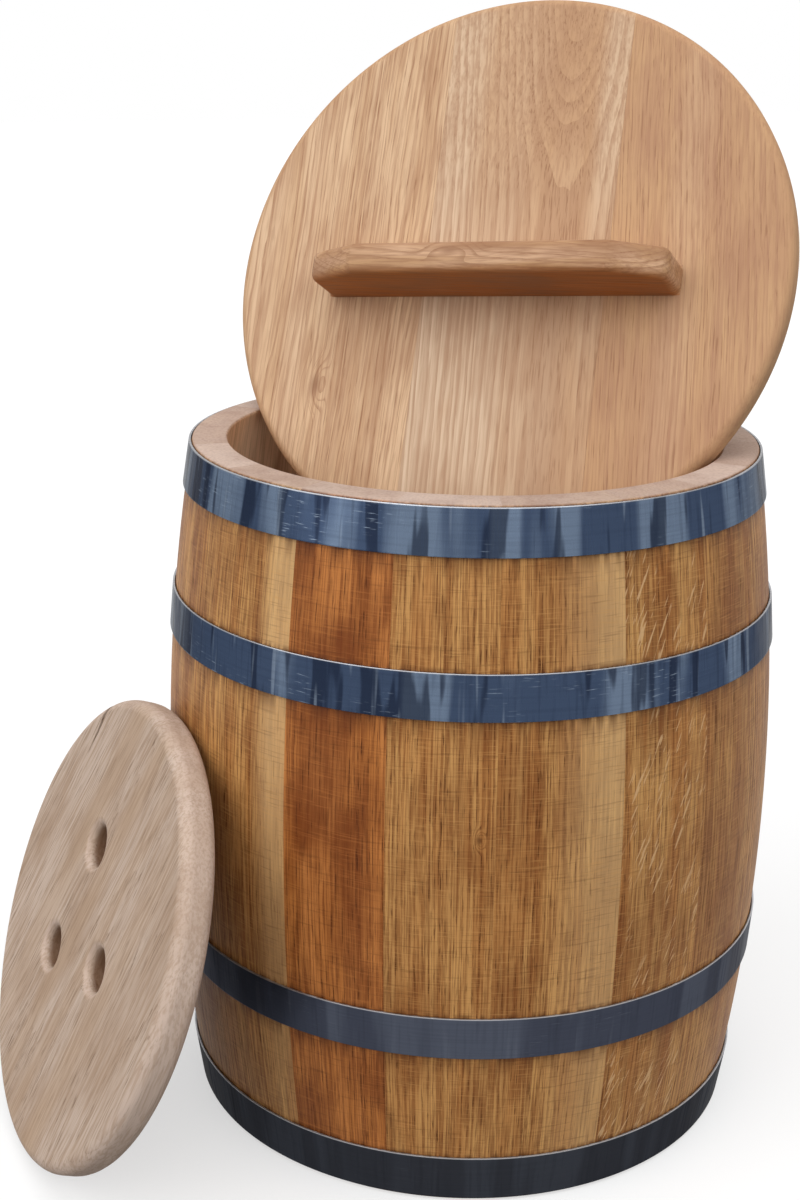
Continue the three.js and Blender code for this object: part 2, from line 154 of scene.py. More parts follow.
class LidSizes(bpy.types.PropertyGroup):
    """Sizes and place of the lid and its handle."""

    radius: length("Radius", "Radius of the lid", 202.7 * MM)
    thickness: length("Thickness", "Thickness of the lid", 20 * MM)
    edge_round: length("Edge round", "Rounding of the lid's edge", 7 * MM)
    first_seam: length("First seam", "Place of the seam on the left", -57 * MM)
    second_seam: length("Second seam", "Place of the seam on the right", 76 * MM)
    facing: angle("Facing", "Where the upper face looks, clockwise from the front", 49.4)
    lean: angle("Lean", "How far the lid leans back", 26)
    turn: angle("Turn", "How far the boards are turned in the lid's plane", 4.6)
    handle_length: length("Handle length", "Length of the handle bar", 258 * MM)
    handle_width: length("Handle width", "Width of the handle bar", 22 * MM)
    handle_height: length("Handle height", "How far the bar stands off the lid", 53 * MM)
    handle_drop: length("Handle drop", "How far the bar sits below the middle of the lid", 7 * MM)
    handle_gap: length("Handle gap", "Air between bar and lid", 0.1 * MM)
    bevel_length: length("Bevel length", "Length of the cut at the bar's ends", 38 * MM)
    bevel_drop: length("Bevel drop", "Depth of the cut at the bar's ends", 17 * MM)
    handle_round: length("Handle round", "Rounding of the bar's edges", 6 * MM)
    screw_reach: length("Screw reach", "Distance of the outer screws from the middle", 92 * MM)
    screw_radius: length("Screw radius", "Radius of a screw's shank hole", 2.8 * MM)
    screw_head_radius: length("Screw head radius", "Radius of the countersink", 5.3 * MM)
    screw_head_height: length("Screw head height", "Depth of the countersink", 3.8 * MM)


class PressSizes(bpy.types.PropertyGroup):
    """Sizes and place of the press board."""

    radius: length("Radius", "Radius of the press board", 160.8 * MM)
    thickness: length("Thickness", "Thickness of the press board", 25 * MM)
    edge_round: length("Edge round", "Rounding of the edge", 9 * MM)
    first_seam: length("First seam", "Place of the seam on the left", -35 * MM)
    second_seam: length("Second seam", "Place of the seam on the right", 43 * MM)
    facing: angle("Facing", "Where the upper face looks, clockwise from the front", 90)
    lean: angle("Lean", "How far the board leans back", 20)
    turn: angle("Turn", "How far the boards are turned in their plane", -17)
    hole_radius: length("Hole radius", "Radius of a finger hole", 14.5 * MM)
    hole_lip: length("Hole lip", "Rounding of a finger hole's lip", 6.5 * MM)
    ring_radius: length("Ring radius", "Radius of the ring of finger holes", 52 * MM)
    ring_shift: length("Ring shift", "How far the ring is off the centre", -9 * MM)
    ring_turn: angle("Ring turn", "How far the ring is turned", 3)


class Finishes(bpy.types.PropertyGroup):
    """Main colours of the barrel."""

    stave: colour("Stave oak", "Oiled oak of most staves", "#ab6d36")
    red_stave: colour("Red stave oak", "Oiled heartwood of the darker staves", "#b06b30")
    lid: colour("Lid oak", "Sanded oak of the lid", "#bc926a")
    handle: colour("Handle oak", "Sanded oak of the lid's handle", "#b48a60")
    press: colour("Press oak", "Raw oak of the press board", "#ad9784")
    head: colour("Head oak", "Raw wood of the bottom head and of the dowels", "#a98559")
    hoop: colour("Hoop steel", "Rolled strip of the upper hoops", "#3a475d")


def add(tree, kind, feeds=(), **settings):
    """Adds one node with its settings, links or sets its inputs, and gives its outputs.

    The inputs come under their names or places, or as a row in the order of their places.
    """
    made = tree.nodes.new(kind)
    for name, value in settings.items():
        setattr(made, name, value)
    inputs = feeds if isinstance(feeds, dict) else dict(enumerate(feeds))
    for socket, value in inputs.items():
        if isinstance(value, bpy.types.NodeSocket):
            tree.links.new(value, made.inputs[socket])
        else:
            made.inputs[socket].default_value = value
    return made.outputs


# Places of the colour sockets on a mix node, and of the number sockets on a random value.
MIX_FACTOR = 0
MIX_FIRST = 6
MIX_SECOND = 7
MIX_RESULT = 2
RANDOM_LOW = 2
RANDOM_HIGH = 3
RANDOM_RESULT = 1


def new_material(name):
    """Empty node material, and the function that adds a node to it."""
    material = bpy.data.materials.new(name)
    material.use_nodes = True
    material.node_tree.nodes.clear()
    return material, partial(add, material.node_tree)


def tints(shades, main=None):
    """Linear colours of named shades, with the main one from a property where it is given."""
    colours = {label: linear(code) for label, code in shades.items()}
    if main is not None:
        colours["main"] = (*main, 1.0)
    return colours


def laid_over(put, shade, mask, depth, other):
    """Shade with another one laid over it where a mask shows, at most to that depth."""
    share = put("ShaderNodeMath", (mask, depth), operation="MULTIPLY")[0]
    feeds = {MIX_FACTOR: share, MIX_FIRST: shade, MIX_SECOND: other}
    return put("ShaderNodeMix", feeds, data_type="RGBA")[MIX_RESULT]


# Marks in oak. Spacing in millimetres: across the grain, through the board, along the grain.
# Then the tilt in degrees, and where the noise starts to show as the mark and shows in full.
# Pores and saw marks are drawn coarser than the real quarter millimetre, so that they show.
OAK_MARKS = {
    "wander": ((48, 48, 340), 0, None),
    "waver": ((7, 7, 46), 0, None),
    "streaks": ((10, 10, 220), 0, (0.36, 0.66)),
    "blotches": ((42, 42, 110), 3, (0.46, 0.64)),
    "clouds": ((24, 24, 60), 4, (0.44, 0.68)),
    "pores": ((1.0, 1.0, 20), 0, (0.52, 0.64)),
    "fibres": ((1.9, 1.9, 60), 0, (0.42, 0.66)),
    "saw_pale": ((20, 20, 0.9), 1.5, (0.52, 0.7)),
    "saw_dark": ((24, 24, 1.2), -1.5, (0.54, 0.72)),
    "shade_and_soot_streaks": ((6, 6, 60), 0, (0.35, 0.6)),
    "flecks": ((2.0, 50, 20), 24, (0.59, 0.64)),
    "fleck_groups": ((26, 50, 70), 0, (0.43, 0.53)),
}
# Marks that run straight: how the grain bends, what the saw left, and the streaks of painted shade
# and soot at the hoops.
# The rest bends with the grain.
STRAIGHT_MARKS = ("wander", "waver", "saw_pale", "saw_dark", "shade_and_soot_streaks")
# Marks that are as long as the vessels of the wood, which vary from tree to tree.
VESSEL_MARKS = ("streaks", "pores", "fibres")

# How strongly each mark shows, and the size of the growth rings, on plain sanded oak.
PLAIN_OAK = {
    "seed": 0.0,
    "ring_mm": 3.2,
    "ring_share": 0.45,
    "wander_mm": 14.0,
    "waver_mm": 1.6,
    "vessel_share": 1.0,
    "knot": None,
    "streaks": 0.8,
    "blotches": 0.0,
    "rings": 0.4,
    "fibres": 0.3,
    "clouds": 0.25,
    "pores": 0.5,
    "saw_pale": 0.0,
    "saw_dark": 0.0,
    "flecks": 0.0,
    "sapwood": 0.85,
    "sapwood_under": "rings",
    "inside": 0.85,
    "raw": 0.85,
    "end_grain": 0.3,
    "roughness": 0.58,
    "specular": 0.3,
    "bump": 0.35,
}
# Shade of each mark, in the order in which they are laid over the pale ground.
OAK_TINTS = {
    "streaks": "main",
    "blotches": "dark",
    "rings": "dark",
    "fibres": "dark",
    "clouds": "dark",
    "pores": "pore",
    "saw_pale": "pale",
    "saw_dark": "pore",
    "flecks": "fleck",
}
# Share of the pores that is left between the rings, and in sapwood.
PORES_BETWEEN_RINGS = 0.3
PORES_IN_SAPWOOD = 0.3
# Good and bad years: how soon they change, and by how many rings they shift the growth.
WEATHER_PACE = 0.3
WEATHER_SHIFT = 3.0
# A knot: its edge and the reach of its swirl, both in its own size, by how many rings the swirl pushes,
# how much longer it is along the grain, and how dark.
KNOT_EDGE = 0.9
KNOT_REACH = 2.4
KNOT_PUSH = 2.6
KNOT_STRETCH = 2.0
KNOT_DEPTH = 0.75
# Relief of sanded oak, and which share of it rings and pores are sunk.
OAK_RELIEF = 0.3 * MM
RING_SINK = 0.35
PORE_SINK = 0.65
# How much rougher pores and freshly cut wood are.
PORE_MATT = 0.2
RAW_MATT = 0.3
# How much more the bare grain shows inside than on a cut end, and how dark the band at the hoops is,
# painted shade with soot.
INSIDE_GRAIN = 2.0
SHADE_AND_SOOT_DEPTH = 0.75


def grain_marks(put, look, grain):
    """How far each mark that the look needs shows, and the place in the bent grain, in millimetres."""
    scaled = put("ShaderNodeVectorMath", {0: grain, "Scale": 1 / MM}, operation="SCALE")[0]
    bent = scaled
    shown = {}
    for label, ((across, through, along), tilt, limits) in OAK_MARKS.items():
        if not look.get(label, True):
            continue
        run = along * look["vessel_share"] if label in VESSEL_MARKS else along
        feeds = {
            "Vector": scaled if label in STRAIGHT_MARKS else bent,
            "Rotation": (0, math.radians(tilt), 0),
            "Scale": (across, through, run),
        }
        place = put("ShaderNodeMapping", feeds, vector_type="TEXTURE")[0]
        feeds = {"Vector": place, "W": look["seed"], "Scale": 1.0, "Detail": 2.0}
        noise = put("ShaderNodeTexNoise", feeds, noise_dimensions="4D")
        if limits:
            feeds = {"Value": noise["Fac"], "From Min": limits[0], "From Max": limits[1]}
            shown[label] = put("ShaderNodeMapRange", feeds, interpolation_type="SMOOTHSTEP")[0]
            continue
        # The grain wanders as the tree grew.
        reach = look[label + "_mm"]
        swing = put("ShaderNodeVectorMath", (noise["Color"], (0.5, 0.5, 0.5)), operation="SUBTRACT")[0]
        bent = put("ShaderNodeVectorMath", (swing, (reach, reach, 0), bent), operation="MULTIPLY_ADD")[0]
    return shown, bent


def growth_rings(put, look, bent, shown):
    """Adds rings and a knot to the marks that show, and keeps most pores to the rings."""
    level = put("ShaderNodeVectorMath", (bent, (1, 1, 0)), operation="MULTIPLY")[0]
    from_pith = put("ShaderNodeVectorMath", (level,), operation="LENGTH")["Value"]
    years = put("ShaderNodeMath", (from_pith, look["ring_mm"]), operation="DIVIDE")[0]
    if look["knot"]:
        # A knot has rings of its own, and the grain swings round it.
        across, along, size = look["knot"]
        offset = put("ShaderNodeVectorMath", (bent, (across, 0, along)), operation="SUBTRACT")[0]
        sizing = (1 / size, 0, 1 / (KNOT_STRETCH * size))
        flat = put("ShaderNodeVectorMath", (offset, sizing), operation="MULTIPLY")[0]
        from_knot = put("ShaderNodeVectorMath", (flat,), operation="LENGTH")["Value"]
        feeds = {"Value": from_knot, "From Max": KNOT_EDGE, "To Min": 1.0, "To Max": 0.0}
        shown["knot"] = put("ShaderNodeMapRange", feeds, interpolation_type="SMOOTHSTEP")[0]
        feeds = {"Value": from_knot, "From Max": KNOT_REACH, "To Min": KNOT_PUSH, "To Max": 0.0}
        push = put("ShaderNodeMapRange", feeds, interpolation_type="SMOOTHERSTEP")[0]
        years = put("ShaderNodeMath", (years, push), operation="ADD")[0]
    # Rings grow round the pith, and are wider in good years.
    weather = put("ShaderNodeTexNoise", {"W": years, "Scale": WEATHER_PACE}, noise_dimensions="1D")["Fac"]
    uneven = put("ShaderNodeMath", (weather, WEATHER_SHIFT, years), operation="MULTIPLY_ADD")[0]
    season = put("ShaderNodeMath", (uneven,), operation="FRACT")[0]
    feeds = {"Value": season, "From Max": look["ring_share"], "To Min": 1.0, "To Max": 0.0}
    shown["rings"] = put("ShaderNodeMapRange", feeds, interpolation_type="SMOOTHSTEP")[0]
    feeds = (shown["rings"], 1 - PORES_BETWEEN_RINGS, PORES_BETWEEN_RINGS)
    opened = put("ShaderNodeMath", feeds, operation="MULTIPLY_ADD")[0]
    shown["pores"] = put("ShaderNodeMath", (shown["pores"], opened), operation="MULTIPLY")[0]


def oak(name, tint, look, coordinates=None):
    """Oak: straight-grained hardwood with rings of open pores.

    Rows of dark pores mark each ring, pale rays cross them, and oil or sanding leaves a satin gloss.
    A piece with stored grain, zones and sapwood needs no coordinates. A node of the frame gets them here.
    """
    marked = coordinates is None
    look = {**PLAIN_OAK, **look}
    material, put = new_material(name)
    if marked:
        grain = put("ShaderNodeAttribute", attribute_name="grain")["Vector"]
    else:
        place = put("ShaderNodeTexCoord")["Object"]
        grain = put("ShaderNodeMapping", {"Vector": place, **coordinates})["Vector"]
    shown, bent = grain_marks(put, {**look, "fleck_groups": look["flecks"], "shade_and_soot_streaks": marked}, grain)
    growth_rings(put, look, bent, shown)
    if look["flecks"]:
        # Ray flecks are short slanting strokes that lie in groups.
        feeds = (shown["flecks"], shown["fleck_groups"])
        shown["flecks"] = put("ShaderNodeMath", feeds, operation="MULTIPLY")[0]
    shade = tint["pale"]
    for label, code in OAK_TINTS.items():
        if marked and label == look["sapwood_under"]:
            tone = put("ShaderNodeAttribute", attribute_name="sapwood")["Fac"]
            shade = laid_over(put, shade, tone, look["sapwood"], tint["sapwood"])
            # Pores are nearly as pale as the rest of the sapwood.
            heart = put("ShaderNodeMath", (tone, PORES_IN_SAPWOOD - 1, 1.0), operation="MULTIPLY_ADD")[0]
            shown["pores"] = put("ShaderNodeMath", (shown["pores"], heart), operation="MULTIPLY")[0]
        if look[label]:
            shade = laid_over(put, shade, shown[label], look[label], tint[code])
    if look["knot"]:
        shade = laid_over(put, shade, shown["knot"], KNOT_DEPTH, tint["pore"])
    sunk = put("ShaderNodeMath", (shown["rings"], -RING_SINK, 1.0), operation="MULTIPLY_ADD")[0]
    height = put("ShaderNodeMath", (shown["pores"], -PORE_SINK, sunk), operation="MULTIPLY_ADD")[0]
    force = look["bump"]
    feeds = {"Value": shown["pores"], "To Min": look["roughness"], "To Max": look["roughness"] + PORE_MATT}
    gloss = put("ShaderNodeMapRange", feeds)[0]
    if marked:
        zones = put("ShaderNodeAttribute", attribute_name="zones")["Vector"]
        raw, inside, shade_and_soot_zone = put("ShaderNodeSeparateXYZ", (zones,))
        # The band at the hoops is painted shade, streaked with soot.
        shade_and_soot = put("ShaderNodeMath", (shade_and_soot_zone, shown["shade_and_soot_streaks"]), operation="MULTIPLY")[0]
        shade = laid_over(put, shade, inside, look["inside"], tint["inside"])
        shade = laid_over(put, shade, raw, look["raw"], tint["raw"])
        bare = put("ShaderNodeMath", (inside, INSIDE_GRAIN, raw), operation="MULTIPLY_ADD")[0]
        for label in ("fibres", "clouds"):
            speckle = put("ShaderNodeMath", (bare, shown[label]), operation="MULTIPLY")[0]
            shade = laid_over(put, shade, speckle, look["end_grain"], tint["dark"])
        shade = laid_over(put, shade, shade_and_soot, SHADE_AND_SOOT_DEPTH, tint["pore"])
        # Freshly cut wood is matt, and shows no open pores.
        force = put("ShaderNodeMath", (raw, -look["bump"], look["bump"]), operation="MULTIPLY_ADD")[0]
        gloss = put("ShaderNodeMath", (raw, RAW_MATT, gloss), operation="MULTIPLY_ADD", use_clamp=True)[0]
    relief = put("ShaderNodeBump", {"Strength": force, "Distance": OAK_RELIEF, "Height": height})["Normal"]
    surface = put("ShaderNodeBsdfPrincipled", {
        "Base Color": shade, "Roughness": gloss, "Specular IOR Level": look["specular"],
        "Normal": relief})["BSDF"]
    put("ShaderNodeOutputMaterial", {"Surface": surface})
    return material


# Marks on rolled strip. Spacing in millimetres along the strip and across it, then where the noise shows.
STRIP_MARKS = {
    # The first two marks and the fourth are painted reflections of the surround.
    "reflected_bands": ((38, 500), (0.46, 0.55)),
    "reflected_bars": ((14, 140), (0.55, 0.61)),
    "brush": ((3, 60), (0.5, 0.66)),
    "painted_gleam": ((9, 160), (0.61, 0.68)),
    "scuffs": ((12, 0.9), (0.62, 0.7)),
    "scuffed": ((50, 40), (0.5, 0.6)),
    "lines": ((90, 1.4), (0.4, 0.7)),
    "waves": ((34, 50), (0.0, 1.0)),
}
# Layers over the strip's main shade, from the lowest up: mark, depth and shade,
# and if it fades where the strip is less streaky.
STRIP_LAYERS = (
    # The first two layers and the fourth are painted reflections; the last is wear with a painted highlight.
    ("reflected_bands", 0.85, "light", False),
    ("reflected_bars", 0.75, "dark", True),
    ("brush", 0.25, "dark", True),
    ("painted_gleam", 0.45, "bright", True),
    ("lines", 0.15, "dark", False),
    ("scuffs", 0.7, "bright", True),
    ("wear_and_highlight", 0.85, "wear_and_highlight", False),
)
# What steel mirrors at a slant, a little darker than white.
SLANT_TINT = "#bdbcbb"
# Height of the strip's gentle dents, of its scuffs and of the pits of worked steel, and how strongly
# each shows.
DENTS = 1.2 * MM
DENT_FORCE = 0.5
SCUFFS = 0.1 * MM
SCUFF_FORCE = 0.12
PITS = 0.2 * MM
PIT_FORCE = 0.35
# How much rougher brushed streaks and the pits of worked steel are.
BRUSH_MATT = 0.16
PIT_MATT = 0.15


def rolled_steel(name, tint, streaky, roughness, start=0.0):
    """Cold-rolled steel strip: a dark blue-grey skin from the mill.

    Lighter and darker patches lie across the strip as painted reflections, under painted gleams. Short
    scuffs and faint rolling lines run along it, and its upper edge is bright with wear and a painted
    highlight. The start shifts all its marks along the strip.
    """
    material, put = new_material(name)
    along = put("ShaderNodeAttribute", attribute_name="along")["Fac"]
    place = put("ShaderNodeTexCoord")["Object"]
    rise = put("ShaderNodeSeparateXYZ", (place,))["Z"]
    strip = put("ShaderNodeCombineXYZ", (along, rise))[0]
    shown = {"wear_and_highlight": put("ShaderNodeAttribute", attribute_name="wear_and_highlight")["Fac"]}
    for label, ((run, cross), (low, high)) in STRIP_MARKS.items():
        feeds = {"Vector": strip, "Location": (-start, 0, 0), "Scale": (run * MM, cross * MM, 1)}
        spot = put("ShaderNodeMapping", feeds, vector_type="TEXTURE")[0]
        noise = put("ShaderNodeTexNoise", {"Vector": spot, "Scale": 1.0, "Detail": 2.0})["Fac"]
        feeds = {"Value": noise, "From Min": low, "From Max": high}
        shown[label] = put("ShaderNodeMapRange", feeds, interpolation_type="SMOOTHSTEP")[0]
    # Scuffs lie in patches.
    feeds = (shown["scuffs"], shown["scuffed"])
    shown["scuffs"] = put("ShaderNodeMath", feeds, operation="MULTIPLY")[0]
    shade = tint["main"]
    for label, depth, code, fades in STRIP_LAYERS:
        shade = laid_over(put, shade, shown[label], depth * streaky if fades else depth, tint[code])
    feeds = {"Strength": DENT_FORCE, "Distance": DENTS, "Height": shown["waves"]}
    dents = put("ShaderNodeBump", feeds)["Normal"]
    feeds = {"Strength": SCUFF_FORCE, "Distance": SCUFFS, "Height": shown["scuffs"], "Normal": dents}
    relief = put("ShaderNodeBump", feeds)["Normal"]
    feeds = {"Value": shown["brush"], "To Min": roughness, "To Max": roughness + BRUSH_MATT}
    gloss = put("ShaderNodeMapRange", feeds)[0]
    surface = put("ShaderNodeBsdfPrincipled", {
        "Base Color": shade, "Metallic": 1.0, "Roughness": gloss, "Specular Tint": linear(SLANT_TINT),
        "Normal": relief})["BSDF"]
    put("ShaderNodeOutputMaterial", {"Surface": surface})
    return material


def worked_steel(name, main, bright, grit_mm, roughness):
    """Steel that was struck or turned: fine facets and pits, brighter where it is rubbed."""
    material, put = new_material(name)
    place = put("ShaderNodeTexCoord")["Object"]
    grit = put("ShaderNodeTexNoise", {"Vector": place, "Scale": 1 / (grit_mm * MM), "Detail": 3.0})["Fac"]
    feeds = {MIX_FACTOR: grit, MIX_FIRST: linear(main), MIX_SECOND: linear(bright)}
    shade = put("ShaderNodeMix", feeds, data_type="RGBA")[MIX_RESULT]
    relief = put("ShaderNodeBump", {"Strength": PIT_FORCE, "Distance": PITS, "Height": grit})["Normal"]
    feeds = {"Value": grit, "To Min": roughness, "To Max": roughness + PIT_MATT}
    gloss = put("ShaderNodeMapRange", feeds)[0]
    feeds = {"Base Color": shade, "Metallic": 1.0, "Roughness": gloss, "Normal": relief}
    surface = put("ShaderNodeBsdfPrincipled", feeds)["BSDF"]
    put("ShaderNodeOutputMaterial", {"Surface": surface})
    return material


def new_tree(name, inputs):
    """Empty geometry tree with named inputs, the function that adds its nodes, and the inputs' sockets."""
    tree = bpy.data.node_groups.new(name, "GeometryNodeTree")
    tree.interface.new_socket("Geometry", in_out="OUTPUT", socket_type="NodeSocketGeometry")
    for label, kind in {"Geometry": "Geometry", **inputs, "Material": "Material"}.items():
        tree.interface.new_socket(label, in_out="INPUT", socket_type="NodeSocket" + kind)
    put = partial(add, tree)
    return tree, put, put("NodeGroupInput")


def close_tree(put, geometry, material):
    """Ends a tree: real geometry with its material."""
    real = put("GeometryNodeRealizeInstances", {"Geometry": geometry})[0]
    finished = put("GeometryNodeSetMaterial", {"Geometry": real, "Material": material})[0]
    put("NodeGroupOutput", {"Geometry": finished})


def sweep_tree():
    """Tree that sweeps an outline part of the way round the barrel's axis, as a stave."""
    tree, put, inputs = new_tree("Outline swept round the axis", {
        "Axis": "Vector", "Radius": "Float", "Start": "Float", "Sweep": "Float", "Points": "Int"})
    outline = put("GeometryNodeMeshToCurve", {"Mesh": inputs["Geometry"]})[0]
    path = put("GeometryNodeCurveArc", {
        "Resolution": inputs["Points"], "Radius": inputs["Radius"], "Start Angle": inputs["Start"],
        "Sweep Angle": inputs["Sweep"]}, mode="RADIUS")["Curve"]
    travelled = put("GeometryNodeSplineParameter")["Factor"]
    feeds = (travelled, inputs["Sweep"], inputs["Start"])
    angle_there = put("ShaderNodeMath", feeds, operation="MULTIPLY_ADD")[0]
    feeds = {"Geometry": path, "Name": "turn", "Value": angle_there}
    named = put("GeometryNodeStoreNamedAttribute", feeds, data_type="FLOAT", domain="POINT")[0]
    upright = put("GeometryNodeSetCurveNormal", {"Curve": named}, mode="Z_UP")[0]
    feeds = {"Curve": upright, "Profile Curve": outline, "Fill Caps": True}
    body = put("GeometryNodeCurveToMesh", feeds)[0]
    # An arc's last straight step tilts the section at its ends, so each section is set radial again.
    turn = put("GeometryNodeInputNamedAttribute", {"Name": "turn"}, data_type="FLOAT")[0]
    place = put("GeometryNodeInputPosition")[0]
    level = put("ShaderNodeVectorMath", (place, (1, 1, 0)), operation="MULTIPLY")[0]
    radius = put("ShaderNodeVectorMath", (level,), operation="LENGTH")["Value"]
    rise = put("ShaderNodeSeparateXYZ", (place,))["Z"]
    flat = put("ShaderNodeCombineXYZ", {"X": radius, "Z": rise})[0]
    radial = put("ShaderNodeVectorRotate", {"Vector": flat, "Angle": turn}, rotation_type="Z_AXIS")[0]
    trued = put("GeometryNodeSetPosition", {"Geometry": body, "Position": radial})[0]
    placed = put("GeometryNodeTransform", {"Geometry": trued, "Translation": inputs["Axis"]})[0]
    close_tree(put, placed, inputs["Material"])
    return tree


def hoop_tree():
    """Tree that bends a strip's section once round the barrel and steps it up over its own start."""
    tree, put, inputs = new_tree("Strip bent to a lapped hoop", {
        "Axis": "Vector", "Radius": "Float", "Lap Angle": "Float", "Turns": "Float", "Step Start": "Float",
        "Step End": "Float", "Step": "Float", "Points": "Int"})
    section = put("GeometryNodeMeshToCurve", {"Mesh": inputs["Geometry"]})[0]
    path = put("GeometryNodeCurveSpiral", {
        "Resolution": inputs["Points"], "Rotations": inputs["Turns"], "Start Radius": inputs["Radius"],
        "End Radius": inputs["Radius"], "Height": 0.0, "Reverse": True})[0]
    travelled = put("GeometryNodeSplineParameter")
    lift = put("ShaderNodeMapRange", {
        "Value": travelled["Factor"], "From Min": inputs["Step Start"], "From Max": inputs["Step End"],
        "To Max": inputs["Step"]}, interpolation_type="SMOOTHSTEP")[0]
    place = put("GeometryNodeInputPosition")[0]
    outward = put("ShaderNodeVectorMath", (place,), operation="NORMALIZE")[0]
    offset = put("ShaderNodeVectorMath", {0: outward, "Scale": lift}, operation="SCALE")[0]
    stepped = put("GeometryNodeSetPosition", {"Geometry": path, "Offset": offset})[0]
    feeds = {"Geometry": stepped, "Name": "along", "Value": travelled["Length"]}
    named = put("GeometryNodeStoreNamedAttribute", feeds, data_type="FLOAT", domain="POINT")[0]
    upright = put("GeometryNodeSetCurveNormal", {"Curve": named}, mode="Z_UP")[0]
    feeds = {"Curve": upright, "Profile Curve": section, "Fill Caps": True}
    body = put("GeometryNodeCurveToMesh", feeds)[0]
    turn = put("ShaderNodeCombineXYZ", {"Z": inputs["Lap Angle"]})[0]
    feeds = {"Geometry": body, "Translation": inputs["Axis"], "Rotation": turn}
    placed = put("GeometryNodeTransform", feeds)[0]
    close_tree(put, placed, inputs["Material"])
    return tree


# A rivet's head: its corners, its layers, how late its dome falls off, and how far it narrows to the top.
RIVET_CORNERS = 28
RIVET_LAYERS = 7
DOME_POWER = 2.4
DOME_NARROWING = 0.8
# Least and greatest size that a blow leaves, and the seed of the blows.
BLOWS = (0.93, 1.05)
BLOW_SEED = 7


def rivet_tree():
    """Tree that sets a low domed rivet head, each struck a little differently, on every seat."""
    tree, put, inputs = new_tree("Rivet heads on their seats", {
        "Radius": "Float", "Height": "Float", "Seed": "Int"})
    blank = put("GeometryNodeMeshCylinder", {
        "Vertices": RIVET_CORNERS, "Side Segments": RIVET_LAYERS, "Radius": inputs["Radius"],
        "Depth": inputs["Height"]})["Mesh"]
    place = put("GeometryNodeInputPosition")[0]
    rise = put("ShaderNodeSeparateXYZ", (place,))["Z"]
    share = put("ShaderNodeMath", (rise, inputs["Height"]), operation="DIVIDE")[0]
    climb = put("ShaderNodeMath", (share, 0.5), operation="ADD")[0]
    steep = put("ShaderNodeMath", (climb, DOME_POWER), operation="POWER")[0]
    narrow = put("ShaderNodeMath", (steep, -DOME_NARROWING, 1.0), operation="MULTIPLY_ADD")[0]
    waist = put("ShaderNodeCombineXYZ", (narrow, narrow, 1.0))[0]
    domed = put("ShaderNodeVectorMath", (place, waist), operation="MULTIPLY")[0]
    head = put("GeometryNodeSetPosition", {"Geometry": blank, "Position": domed})[0]
    outward = put("GeometryNodeInputNamedAttribute", {"Name": "outward"}, data_type="FLOAT_VECTOR")[0]
    facing = put("FunctionNodeAlignRotationToVector", {"Vector": outward}, axis="Z")[0]
    feeds = {RANDOM_LOW: BLOWS[0], RANDOM_HIGH: BLOWS[1], "Seed": inputs["Seed"]}
    blow = put("FunctionNodeRandomValue", feeds, data_type="FLOAT")[RANDOM_RESULT]
    feeds = {"Points": inputs["Geometry"], "Instance": head, "Rotation": facing, "Scale": blow}
    heads = put("GeometryNodeInstanceOnPoints", feeds)[0]
    close_tree(put, heads, inputs["Material"])
    return tree


def link(name, mesh):
    """Object of that mesh, at the origin of the scene."""
    made = bpy.data.objects.new(name, mesh)
    bpy.context.scene.collection.objects.link(made)
    return made


def settled(piece):
    """Plain mesh of an object as its modifiers leave it. The object goes."""
    bpy.context.view_layer.update()
    graph = bpy.context.evaluated_depsgraph_get()
    mesh = bpy.data.meshes.new_from_object(piece.evaluated_get(graph), depsgraph=graph)
    start = piece.data
    bpy.data.objects.remove(piece)
    bpy.data.meshes.remove(start)
    return mesh


def grown(start, tree, values):
    """Plain mesh that a geometry tree makes from a starting mesh."""
    piece = link("start", start)
    modifier = piece.modifiers.new("Tree", "NODES")
    modifier.node_group = tree
    for item in tree.interface.items_tree:
        if item.in_out == "INPUT" and item.name in values:
            modifier[item.identifier] = values[item.name]
    return settled(piece)


def loop_of(points):
    """Mesh of one closed loop of edges through radius and height, laid out to be swept."""
    count = len(points)
    mesh = bpy.data.meshes.new("outline")
    corners = [(radius, -height, 0) for radius, height in points]
    mesh.from_pydata(corners, [(i, (i + 1) % count) for i in range(count)], [])
    return mesh


def arc(centre_radius, centre_height, size, start, stop, steps=4):
    """Points of radius and height on an arc, from one angle to another in degrees."""
    turns = [math.radians(start + (stop - start) * i / steps) for i in range(steps + 1)]
    return [(centre_radius + size * math.cos(t), centre_height + size * math.sin(t)) for t in turns]


# Vertices closer than this are one.
MERGE = 0.002 * MM


def cleaned(mesh, sharp_degrees=35):
    """Merges doubles, points faces outwards, and shades smooth up to a sharp angle."""
    shape = bmesh.new()
    shape.from_mesh(mesh)
    bmesh.ops.remove_doubles(shape, verts=shape.verts, dist=MERGE)
    bmesh.ops.recalc_face_normals(shape, faces=shape.faces)
    for face in shape.faces:
        face.smooth = True
    shape.to_mesh(mesh)
    shape.free()
    mesh.set_sharp_from_angle(angle=math.radians(sharp_degrees))
    return mesh


def points_of(mesh):
    """Vertices of a mesh as rows of x, y and z."""
    rows = np.zeros(len(mesh.vertices) * 3)
    mesh.vertices.foreach_get("co", rows)
    return rows.reshape(-1, 3)


def store(mesh, name, kind, rows):
    """Stores one value for each vertex under a name that the materials read."""
    field = "vector" if kind == "FLOAT_VECTOR" else "value"
    attribute = mesh.attributes.new(name, kind, "POINT")
    attribute.data.foreach_set(field, np.ascontiguousarray(rows, np.float32).ravel())


